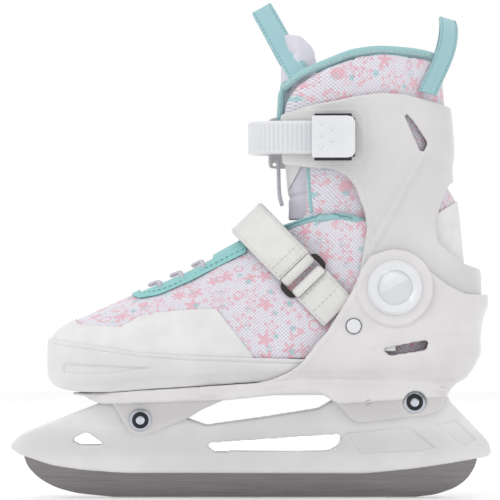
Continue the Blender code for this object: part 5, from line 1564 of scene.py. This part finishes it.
TOE_POCKET = [(-112.3, 77.6), (-110.4, 80.9), (-58.7, 78.5), (-83.6, 74.2), (-111.3, 74.7)]
BUCKLE_PAD = [(35, 200.5), (66, 200.5), (69, 204), (69, 228), (64, 233.5), (35, 232.5)]

DETAILS = {
    "blade_holder": [("ridge", HOLDER_LINE, 0.55, 1.9, 0)]
    + [("ridge", window, 0.55, -1.7, 0) for window in HOLDER_WINDOWS]
    + [("area", panel, -1.0, 0, 0) for panel in HOLDER_PANELS]
    + [("ridge", panel, 0.35, -0.9, 0) for panel in HOLDER_PANELS],
    "chassis_shell": [
        ("area", VENT_POCKET, -0.8, 0, 0), ("ridge", VENT_POCKET, 0.45, -0.9, 0), (
            "area", circle(70.9, 57.2, 1.9), -1.3, 0, 0
        ),
        ("ridge", circle(86.8, 126.4, 22.7), 0.4, 1.3, 0), (
            "line", [(8, 67), (30, 71), (62, 70), (110, 67.5), (140, 70)], 0.5, 1.2, 0
        ),
        ("line", [(33.5, 80.5), (43, 93), (49, 99.6), (56, 110.5), (64, 124), (68.6, 135)], 0.45, 1.0, 0),
    ],
    "toe_shell": [
        ("line", [(-130, 94.6), (-107.5, 91.4), (-64.4, 85.2), (-35.8, 83.3), (30, 80.7)], -0.55, 0.8, 0),
        ("area", TOE_POCKET, -1.2, 0, 0), ("ridge", TOE_POCKET, 0.4, -0.8, 0),
    ],
    "cuff": [
        ("line", [(103.4, 206), (98, 196), (75.9, 154.8)], 1.3, 2.2, 0), ("area", BUCKLE_PAD, 0.5, 0, -1),
        ("ridge", [(90.6, 233.4), (98, 225.4), (106.6, 212.6), (103, 205.4)], 0.5, -1.4, 0),
        ("line", [(74, 150), (71.5, 166), (66, 186), (60, 195)], 0.5, 1.0, 0),
    ],
    "buckle_lever": [
        ("area", circle(x, z, 0.95, 20), 0.7, 0, 0) for x,
        z in ((42.5, 224), (42.5, 217), (42.5, 210), (49, 221), (49, 214))
    ],
}


def padded_tongue(mesh):
    """The tongue's filling: fuller in the middle, drawn in along stitched channels."""
    points, normals = points_of(mesh)
    middle = eased(1 - np.abs(points[:, 1]) / TONGUE_HALF_WIDTH)
    channels = np.zeros(len(points))
    for level in (180, 200, 222, 244, 264):
        channels += np.exp(-(((points[:, 2] - level - 0.006 * points[:, 1] ** 2) / 1.3) ** 2))
    front = eased(-normals[:, 0] + 0.2)
    set_points(mesh, points + normals * ((0.9 * middle - 0.9 * channels) * front)[:, None])
    return mesh


def bolt_head(name, centre):
    """The bolt's chrome dome with a cross recess, on its dark countersunk ring."""
    face = CHEEK_OUT + 2 * FIT_GAP + WASHER_THICKNESS
    top = face + BOLT_HEAD_HEIGHT
    ring = turned(
        centre,
        [
            (0, -face), (BOLT_HEAD_RADIUS, -face), (BOLT_HEAD_RADIUS, -face - 1.0), (4.4, -face - 1.5),
            (3.2, -face - 0.9), (0, -face - 0.9)
        ]
    )
    piece(name + "_bolt_ring", ring, "dark_steel", "chassis")
    dome = turned(
        centre,
        [
            (0, -face - 0.5), (2.9, -face - 0.5), (2.9, -face - 1.3), (2.6, -top + 0.5), (1.8, -top + 0.12),
            (0, -top)
        ]
    )
    x, z = centre
    slots = [block(x - a, x + a, -top - 1, -top + 1.0, z - b, z + b) for a, b in ((2.0, 0.42), (0.42, 2.0))]
    return bevelled(cut(dome, *slots), 0.1, 1)


def lever_form(mesh):
    bottom, top = EAR_LOW - BUCKLE_EAR - LEVER_OVERHANG / 2, EAR_HIGH + BUCKLE_EAR + LEVER_OVERHANG
    outline = [
        (BUCKLE_FRONT, bottom, 1.2), (BUCKLE_REAR, bottom, 5), (BUCKLE_REAR, top, 5), (BUCKLE_FRONT, top, 1.2)
    ]
    return common(mesh, prism(rounded(outline), -FAR, FAR))


def add(name, mesh):
    """Takes a piece's form, rounds it, gives it its raised and sunk detail, and puts it on its body."""
    look, slot, body, way, size = FINISH[name]
    if way == "soft":
        mesh = softened(mesh, size, 6 if size > 0.5 else 4)
    elif way == "bevel":
        mesh = bevelled(mesh, size)
    if name in DETAILS:
        emboss(mesh, *DETAILS[name])
    if name == "tongue":
        padded_tongue(mesh)
    made = piece(name + "_form", mesh, look, body, (name,), 0 if way == "soft" else 40)
    if name == "button_spring":
        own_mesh(made)
    return made


# ---------------------------------------------------------------- fabric, tape, straps and thread


def bent(obj):
    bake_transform(obj)
    return obj


def skin(outer, inner, outline, *cutters):
    """A thin layer between two forms inside a drawn outline."""
    layer = common(cut(outer, inner), prism(rounded(outline), -FAR, FAR))
    return cut(layer, *cutters) if cutters else layer


def upper_outer(offset):
    return join(foot_form(offset), liner_leg(offset - LINER_OUT, 104, 190))


def make_upper():
    """The fabric upper, in one piece over the toe and the ankle, with its covers, seams and piping."""
    inner = join(foot_form(UPPER_IN, past_rear=5.0), liner_leg(LINER_GAP / 2, 100, 200))
    wall = cut(upper_outer(0.0), inner, heel_form(LINER_OUT + LAYER_GAP, side_z(60), side_z(126), front=30))
    outline = [
        (-130, 82), (58, 84), (60, 86.0), (78, 86), (78, 165)
    ] + QUARTER_TOP[-3:0:-1] + [(8, 157), (-2, 160), (-130, 160)]
    throat = prism(
        rounded([(-66, 90), (SPLIT_FRONT, 90), (SPLIT_FRONT, 200), (-66, 200)]), -THROAT_HALF_WIDTH,
        THROAT_HALF_WIDTH
    )
    shell = cut(common(wall, prism(rounded(outline), -FAR, FAR)), throat)
    shell = softened(shell, 0.85, 4)
    points, normals = points_of(shell)
    puff = 0.35 * np.sin(points[:, 0] * 0.16 + points[:, 2] * 0.1) * np.sin(
        points[:, 2] * 0.21 - points[:, 0] * 0.05
    )
    set_points(shell, points + normals * (puff * (np.abs(points[:, 1]) > 16))[:, None])
    tree = tree_of(shell)
    bent(
        piece("upper_fabric", shell, "printed_mesh", None, ("toe_upper", "quarter_upper"), 0),
    )

    cover_edge = [(-104.0, 105.0, 2), (-99.8, 103.9, 4), (-76.9, 102.9, 5), (-72.1, 105.3, 4), (-67.3, 108.7, 4), (-54.8, 111.5, 20),
                  (-40.5, 113, 30), (-20.4, 113.9, 3), (-18.5, 112, 4), (1.6, 85.7)]
    outline = [(-128, 80), (-128, 116), (-105.2, 112)] + cover_edge + [(4, 80)]
    cover = skin(foot_form(1.3), foot_form(0.15), outline)
    bent(piece("toe_cover", bevelled(cover, 0.3, 2, 50), "white_leather", None, (), 40))
    stay_edge = [(-66.4, 120.1), (-54.8, 122, 20), (-35.8, 130.2, 30), (-16.6, 140.2, 30), (-2, 147.5)]
    outline = [(-70.6, 135), (-71.4, 122.0, 4)] + stay_edge + [(-2, 175), (-71, 175)]
    stay = skin(foot_form(1.2), foot_form(0.15), outline, throat)
    bent(piece("lace_stay", bevelled(stay, 0.3, 2, 50), "teal_leather", None, (), 40))

    seams = [laid(tree, [(x, z + 1.7) for x, z, *_ in stay_edge], where, 200, 1.15) for where in (-1, 1)]
    bent(
        stitches("stay_stitches", [s for s in seams if len(s) > 4], "teal_thread", None)
    )

    parts = []
    for where in (-1, 1):
        line = laid(
            tree,
            [
                (12, 158.2), (24.2, 162.0), (37.7, 166.4), (46.8, 167.8), (56, 167.6), (69.5, 164.4),
                (77, 163.2)
            ],
            where, 70
        )
        path = [p - n * (1.0 + 0.3 * max(0.0, p.x - 63)) + Vector((0, 0, 1.3)) for p, n in line]
        if len(path) > 3:
            parts.append(tube(path, 2.1, 18))
    bent(piece("throat_piping", merged(parts), "teal_tape", None))
    runs = []
    for where in (-1, 1):
        line = laid(
            tree,
            [
                (12, 158.2), (24.2, 162.0), (37.7, 166.4), (46.8, 167.8), (56, 167.6), (69.5, 164.4),
                (77, 163.2)
            ],
            where, 170
        )
        runs.append(
            [
                (p + n * 1.15 + Vector((0, 0, 1.3 + 0.7 * (-1) ** i)), n) for i,
                (p, n) in enumerate(line) if p.x < 62
            ]
        )
    bent(
        stitches(
            "piping_stitches", [r for r in runs if len(r) > 4], "teal_thread", None, 1.6, 0.5,
            0.28
        ),
    )
    return tree


def merged(meshes):
    """Several meshes as one, each keeping its own shape."""
    points, faces = [], []
    for mesh in meshes:
        base = len(points)
        points += [vertex.co / MM for vertex in mesh.vertices]
        faces += [tuple(base + index for index in face.vertices) for face in mesh.polygons]
    return mesh_of(points, faces)


def make_whole_liner():
    """The boot's padded lining in one piece, sewn in quilted panels, with its edge binding and trims."""
    outline = rounded(
        [(-140, 60), (150, 60), (150, 246), (114.5, 255, 10), (108, 262.3, 5), (92.4, 264.8, 20), (78.6, 265.6, 20),
         (64.8, 264.2, 20), (46.5, 257.4, 20), (29, 247.4, 10), (22.4, 238, 8), (21, 226, 5), (34, 205, 5), (34, 170, 5),
         (22, 158, 5), (-140, 152)]
    )
    throat = block(-20, side_x(45), -THROAT_HALF_WIDTH, THROAT_HALF_WIDTH, side_z(168), side_z(290))
    liner = softened(cut(common(liner_solid(), prism(outline, -FAR, FAR)), throat), 1.25, 5)
    points, normals = points_of(liner)
    above = eased((points[:, 2] - 150) / 20)
    quilt = np.zeros(len(points))
    for x0, z0, x1, z1 in ((70, 160, 62, 262), (100, 165, 96, 262)):
        share = (points[:, 2] - z0) / (z1 - z0)
        quilt -= 0.7 * np.exp(-(((points[:, 0] - x0 - (x1 - x0) * share) / 1.2) ** 2))
    quilt += 0.5 * np.sin(points[:, 2] * 0.12) * np.sin(points[:, 0] * 0.10)
    set_points(liner, points + normals * (quilt * above)[:, None])
    tree = tree_of(liner)
    made = piece("liner", liner, "printed_leg_mesh", None, ("lower_liner", "upper_liner"), 0)
    bent(made)

    patch = skin(
        liner_leg(1.0, 118, 200), liner_leg(0.1, 116, 202),
        [(110.0, 169.0), (140, 187.5), (140, 128), (108, 128)]
    )
    bent(
        piece("heel_patch", bevelled(patch, 0.25, 2, 50), "white_leather", None, (), 40)
    )
    strips = []
    for where in (-1, 1):
        line = laid(tree, [(37.1, 171.2), (36.2, 180), (35.4, 190), (34.8, 199)], where, 30)
        if len(line) > 3:
            strips.append(tube([p - n * 0.5 for p, n in line], 1.3, 14))
    if strips:
        bent(piece("liner_front_binding", merged(strips), "teal_tape", None))


def make_collar():
    """The bound edge round the collar, with its stitching."""
    top = side_curve(
        (22, 246.5), (30, 253), (46.5, 260.6), (64.8, 266.9), (78.6, 268.3), (92.4, 267.5), (108, 265.3),
        (115, 261.5)
    )
    middle = side_z(262)
    path = []
    for step in range(161):
        angle = math.radians(-152 + 304 * step / 160)
        along, across = math.cos(angle), math.sin(angle)
        reach = (
            leg_rear(middle) - LEG_MIDDLE if along > 0 else LEG_MIDDLE - leg_front(middle)
        ) - LINER_WALL / 2
        x = LEG_MIDDLE + reach * math.copysign(abs(along) ** (2 / LEG_POWER), along)
        y = (leg_width(middle) - LINER_WALL / 2) * math.copysign(abs(across) ** (2 / LEG_POWER), across)
        path.append((x, y, top(x) + FIT_GAP))
    for sign, add_at in ((1, path.append), (-1, lambda p: path.insert(0, p))):
        for x, y, z in (
            (22.6, 19.0, 248.2), (20.2, 17.2, 244.0), (19.3, 16.4, 239.0), (18.9, 16.0, 233.0),
            (18.7, 16.0, 227.5)
        ):
            add_at((side_x(x), sign * y, side_z(z)))
    path = [tuple(p) for p in even(path, 0.8)]
    piece(
        "collar_edge", tube(path, BINDING_RADIUS + 0.25, 22), "teal_tape", "cuff",
        ("collar_binding",), 0
    )
    outs = [
        (Vector(b) - Vector(a)).normalized().cross(Vector((0, 0, 1))).normalized() for a,
        b in zip(path, path[1:])
    ]
    run = [
        (Vector(p) + out * (BINDING_RADIUS + 0.1) - Vector((0, 0, 1.1)), out) for p, out in zip(path, outs)
    ]
    stitches("collar_stitches", [run], "thread", "cuff", 2.2, 1.3, 0.24)


def strap_outs(path, across, centre):
    """Unit vectors out of a strap's outer face, away from centre."""
    outs = []
    for i, point in enumerate(path):
        along = (path[min(i + 1, len(path) - 1)] - path[max(i - 1, 0)]).normalized()
        out = along.cross(across).normalized()
        outs.append(out if out.dot(point - centre) > 0 else -out)
    return outs


def even(path, pitch=0.5):
    """The same path with points a pitch apart."""
    path = [Vector(p) for p in path]
    length = sum((b - a).length for a, b in zip(path, path[1:]))
    return [Vector(p) for p in along_points([tuple(p) for p in path], max(4, int(length / pitch)))]


def edge_run(path, across, outs, shift, lift):
    """A line of thread along a strap, shift from its middle."""
    return [(point + across * shift + out * lift, out) for point, out in zip(path, outs)]


def tape_weave(pitch=1.6):
    return lambda s, t: 0.10 * math.sin(2 * math.pi * s / pitch) * math.cos(math.pi * 6 * t)


FRONT_TAPE = (
    (30.0, 27.5, 253.3), (25.6, 22.0, 261.4), (20.8, 15.5, 270.0), (15.6, 10.0, 279.4), (11.6, 6.0, 286.6), (8.4, 2.6, 292.2), (7.3, 0, 294.2),
)


def make_pull_loops():
    """The two pull loops, folded from woven tape; the front one runs straight up from its ends beside the tongue."""
    for name, spine, width, node in (
        (
            "front_loop_tape", FRONT_TAPE, LOOP_WIDTH + 2.2, "front_pull_loop"
        ), ("rear_loop_tape", REAR_LOOP, LOOP_WIDTH, "rear_pull_loop"),
    ):
        leg = along_points([(side_x(x), -y * WIDTH_STRETCH, side_z(z)) for x, y, z in spine], 60)
        leg = [Vector(p) for p in leg]
        path = even(leg + [Vector((p.x, -p.y, p.z)) for p in reversed(leg[:-1])], 0.45)
        across = loop_across(spine)
        outs = strap_outs(path, across, Vector((path[0].x, 0, path[0].z)))
        tape = band(path, across, outs, width, LOOP_THICKNESS, 14, tape_weave(), 0.5)
        piece(name, tape, "loop_tape", "cuff", (node,), 0)
        runs = [
            edge_run(
                path, across, outs, shift, LOOP_THICKNESS / 2 + 0.05
            ) for shift in (1.3 - width / 2, width / 2 - 1.3)
        ]
        stitches(name + "_stitches", runs, "teal_thread", "cuff", 1.8, 1.0, 0.2)


def loop_across(spine):
    """The direction of a loop's width, as its plain form has it."""
    leg = along_points([(side_x(x), -y * WIDTH_STRETCH, side_z(z)) for x, y, z in spine], 9)
    start, end = Vector(leg[0]), Vector(leg[-1])
    rise = Vector((end.x - start.x, 0, end.z - start.z)).normalized()
    return Vector((rise.z, 0, -rise.x))


def make_tongue_trims():
    """The smooth cover on the front of the tongue, below the cuff's tabs."""
    cover = skin(
        liner_leg(-LINER_WALL - 1.5, 164, 284), liner_leg(-LINER_WALL - 2.5, 160, 290), [
            (5, 203), (33, 203), (23, 184, 4), (5, 178)
        ],
    )
    piece(
        "tongue_cover",
        bevelled(
            common(cover, block(-50, side_x(40), -TONGUE_HALF_WIDTH, TONGUE_HALF_WIDTH, 100, 290)), 0.25
        ),
        "white_leather", "cuff", (), 40
    )


def make_ribbed_strap():
    """The ladder strap: teeth across its face, plain edges, and a knuckle round its anchor."""
    tail = side_x(61)
    xs = [tail - (tail - side_x(22)) * i / 40 for i in range(41)]
    slide = [(x, arc_y(STRAP_RADIUS, x)) for x in xs]
    width = CUFF_SIDE / 43.2
    bend = [(10, -31.8), (3.2, -18), (0.9, 0), (3.6, 19), (11, 34.3), (24, 42.6), (42, 45.0)]
    route = slide[:-1] + along_points([slide[-1]] + [(side_x(x), y * width) for x, y in bend] + [ANCHOR], 80)
    path = even([(p[0], p[1], STRAP_MIDDLE) for p in route], 0.33)
    across = Vector((0, 0, 1))
    outs = strap_outs(path, across, Vector((side_x(45), 0, STRAP_MIDDLE)))

    def teeth(s, t):
        share = (s % LADDER_RIB_PITCH) / LADDER_RIB_PITCH
        rise = min(share / 0.3, 1.0) * (1.0 if share < 0.62 else max(0.0, 1 - (share - 0.62) / 0.12))
        return LADDER_RIB_HEIGHT * rise if abs(t) < 0.86 and s < 112 else 0.0

    strap = band(path, across, outs, LADDER_WIDTH, LADDER_THICKNESS, 26, teeth, 0.7)
    knuckle = bevelled(rod(ANCHOR[0], ANCHOR[1], LADDER_THICKNESS / 2, STRAP_LOW, STRAP_HIGH, 32), 0.2)
    piece(
        "ribbed_strap", merged([strap, knuckle]), "strap_plastic", "strap", ("ladder_strap",),
        35
    )


def make_instep():
    """The instep strap, the flap that folds back on it, and the tab below the ring, with their stitching."""
    top_run = [(-37.2, UPPER_BAR - BAR_CLEAR), (-36.3, 36), (-33.0, 25), (-26, 13.5), (-14, 5.6), (0, 3.2)]
    far_side = [(14, 5.6), (26, 13.5), (33.0, 25), (36.8, 40), (38.2, 56), (38.7, 70), (38.9, 80)]
    gap = INSTEP_THICKNESS + 0.5
    flap = [
        (-37.3 - gap, UPPER_BAR - BAR_CLEAR), (-36.4 - gap, 35.5), (-33 - gap, 23.5), (-27, 11.6),
        (-14.4, 3.4), (0, 0.9), (11, 2.3)
    ]
    tab = [(RING_Y, LOWER_BAR + BAR_CLEAR), (-38.7, 68), (-38.6, 80)]
    centre = strap_point(0, 45)
    for name, route, body, node in (
        (
            "instep_band", top_run + far_side, "chassis", "instep_strap"
        ), ("instep_flap_band", flap, "flap", "instep_flap"),
        ("ring_tab_band", tab, "chassis", "ring_tab"),
    ):
        path = even([strap_point(*p) for p in along_points(route, 60)], 0.8)
        outs = strap_outs(path, STRAP_ACROSS, centre)
        strap = band(path, STRAP_ACROSS, outs, INSTEP_WIDTH, INSTEP_THICKNESS, 22, None, 0.8)
        piece(name, strap, "strap_leather", body, (node,), 0)
        lift, side_shift = INSTEP_THICKNESS / 2 + 0.02, INSTEP_WIDTH / 2 - 1.9
        runs = [edge_run(path, STRAP_ACROSS, outs, shift, lift) for shift in (-side_shift, side_shift)]
        for at in ([2, 14] if name == "ring_tab_band" else [2, 10]):
            runs.append(
                [
                    (
                        path[at] + STRAP_ACROSS * s + outs[at] * lift, outs[at]
                    ) for s in np.linspace(-side_shift, side_shift, 60)
                ]
            )
        stitches(name + "_stitches", runs, "thread", body, 2.2, 1.0, 0.24)


def make_ring_folds():
    """The strap's and the tab's ends, folded round the ring's two long bars."""
    reach = RING_BAR_RADIUS + 0.35 + INSTEP_THICKNESS / 2
    for name, bar, first, last in (
        ("ring_fold_upper", UPPER_BAR, 215, -35), ("ring_fold_lower", LOWER_BAR, 145, 395)
    ):
        angles = [math.radians(first + (last - first) * i / 30) for i in range(31)]
        path = [strap_point(RING_Y + reach * math.cos(a), bar + reach * math.sin(a)) for a in angles]
        outs = strap_outs(path, STRAP_ACROSS, strap_point(RING_Y, bar))
        fold = band(path, STRAP_ACROSS, outs, INSTEP_WIDTH - 1.6, INSTEP_THICKNESS, 18, None, 0.7)
        piece(name, fold, "strap_leather", "chassis", (), 0)


def make_buckle_wings():
    """The steel edges of the buckle's channel that show above and below the lever."""
    for name, low, high in (
        ("buckle_wing_low", EAR_LOW - 3.6, EAR_LOW - 0.3),
        ("buckle_wing_high", EAR_HIGH + 0.3, EAR_HIGH + 3.8)
    ):
        wing = arc_plate(EAR_OUT - 2.2, EAR_OUT - 0.5, BUCKLE_FRONT + 1.5, BUCKLE_REAR - 2.0, low, high, 20)
        piece(name, bevelled(wing, 0.4, 3), "dark_steel", "cuff")


def make_lacing(upper_tree):
    """The laces over the vamp and the tied-off run up the tongue."""
    for number, x in enumerate((-60, -47, -34)):
        row = []
        for share in (-1, -0.5, 0, 0.5, 1):
            back = side_x(x + 5 * share**2)
            row.append(
                (back, 11.0 * WIDTH_STRETCH * share, ridge(back) + LACE_RADIUS + FIT_GAP - 0.4 * share**2)
            )
        for sign, add_at in ((1, row.append), (-1, lambda p: row.insert(0, p))):
            for out, lift in ((15.6, 2.3), (18.2, 1.9), (20.0, -0.6)):
                back = side_x(x + 4.5 + 0.25 * (out - 11))
                hit = upper_tree.ray_cast(Vector((back, sign * out, 200)), Vector((0, 0, -1)))[0]
                if hit is not None:
                    add_at((back, sign * out, hit.z + lift))
        piece(
            f"lace_{number + 1}", braid(even(row, 0.35)), "lace_cord", "toe",
            (f"lace_row_{number + 1}",), 0
        )
    path = [
        (side_x(x), y, side_z(z)) for x, y,
        z in ((19.6, -11, 175.5), (18.6, -10.5, 179), (17.6, -9, 188), (17.4, -7.5, 197), (16.9, -6.5, 203))
    ]
    path = along_points(path, 30)
    piece("lace_tail", braid(even(path, 0.35)), "lace_cord", "cuff", ("lace_end",), 0)


def braid(path):
    """A braided cord: its round section swells in crossing strands."""
    path = [Vector(p) for p in path]
    rings, length, sides = [], 0.0, 16
    for i, point in enumerate(path):
        length += (point - path[i - 1]).length if i else 0.0
        along = (path[min(i + 1, len(path) - 1)] - path[max(i - 1, 0)]).normalized()
        across = along.cross(Vector((0, 0, 1)) if abs(along.z) < 0.9 else Vector((1, 0, 0))).normalized()
        up = across.cross(along).normalized()
        ring = []
        for k in range(sides):
            angle = 2 * math.pi * k / sides
            strands = math.sin(4 * angle + 2.6 * length) * math.sin(4 * angle - 2.6 * length)
            radius = LACE_RADIUS * (1 + 0.10 * strands)
            ring.append(point + (across * math.cos(angle) + up * math.sin(angle)) * radius)
        rings.append(ring)
    return loft(rings)


# ---------------------------------------------------------------- the whole skate

make_blade()
make_blade_holder()
make_bolt("front", FRONT_BOLT)
make_bolt("rear", REAR_BOLT)
make_chassis()
make_pivots()
make_size_button()
make_toe()
make_size_rack()
make_footbed()
make_tongue()
make_cuff()
make_strap_anchor()
make_buckle()
make_ring()
upper_tree = make_upper()
make_whole_liner()
make_collar()
make_pull_loops()
make_tongue_trims()
make_ribbed_strap()
make_instep()
make_ring_folds()
make_buckle_wings()
make_lacing(upper_tree)
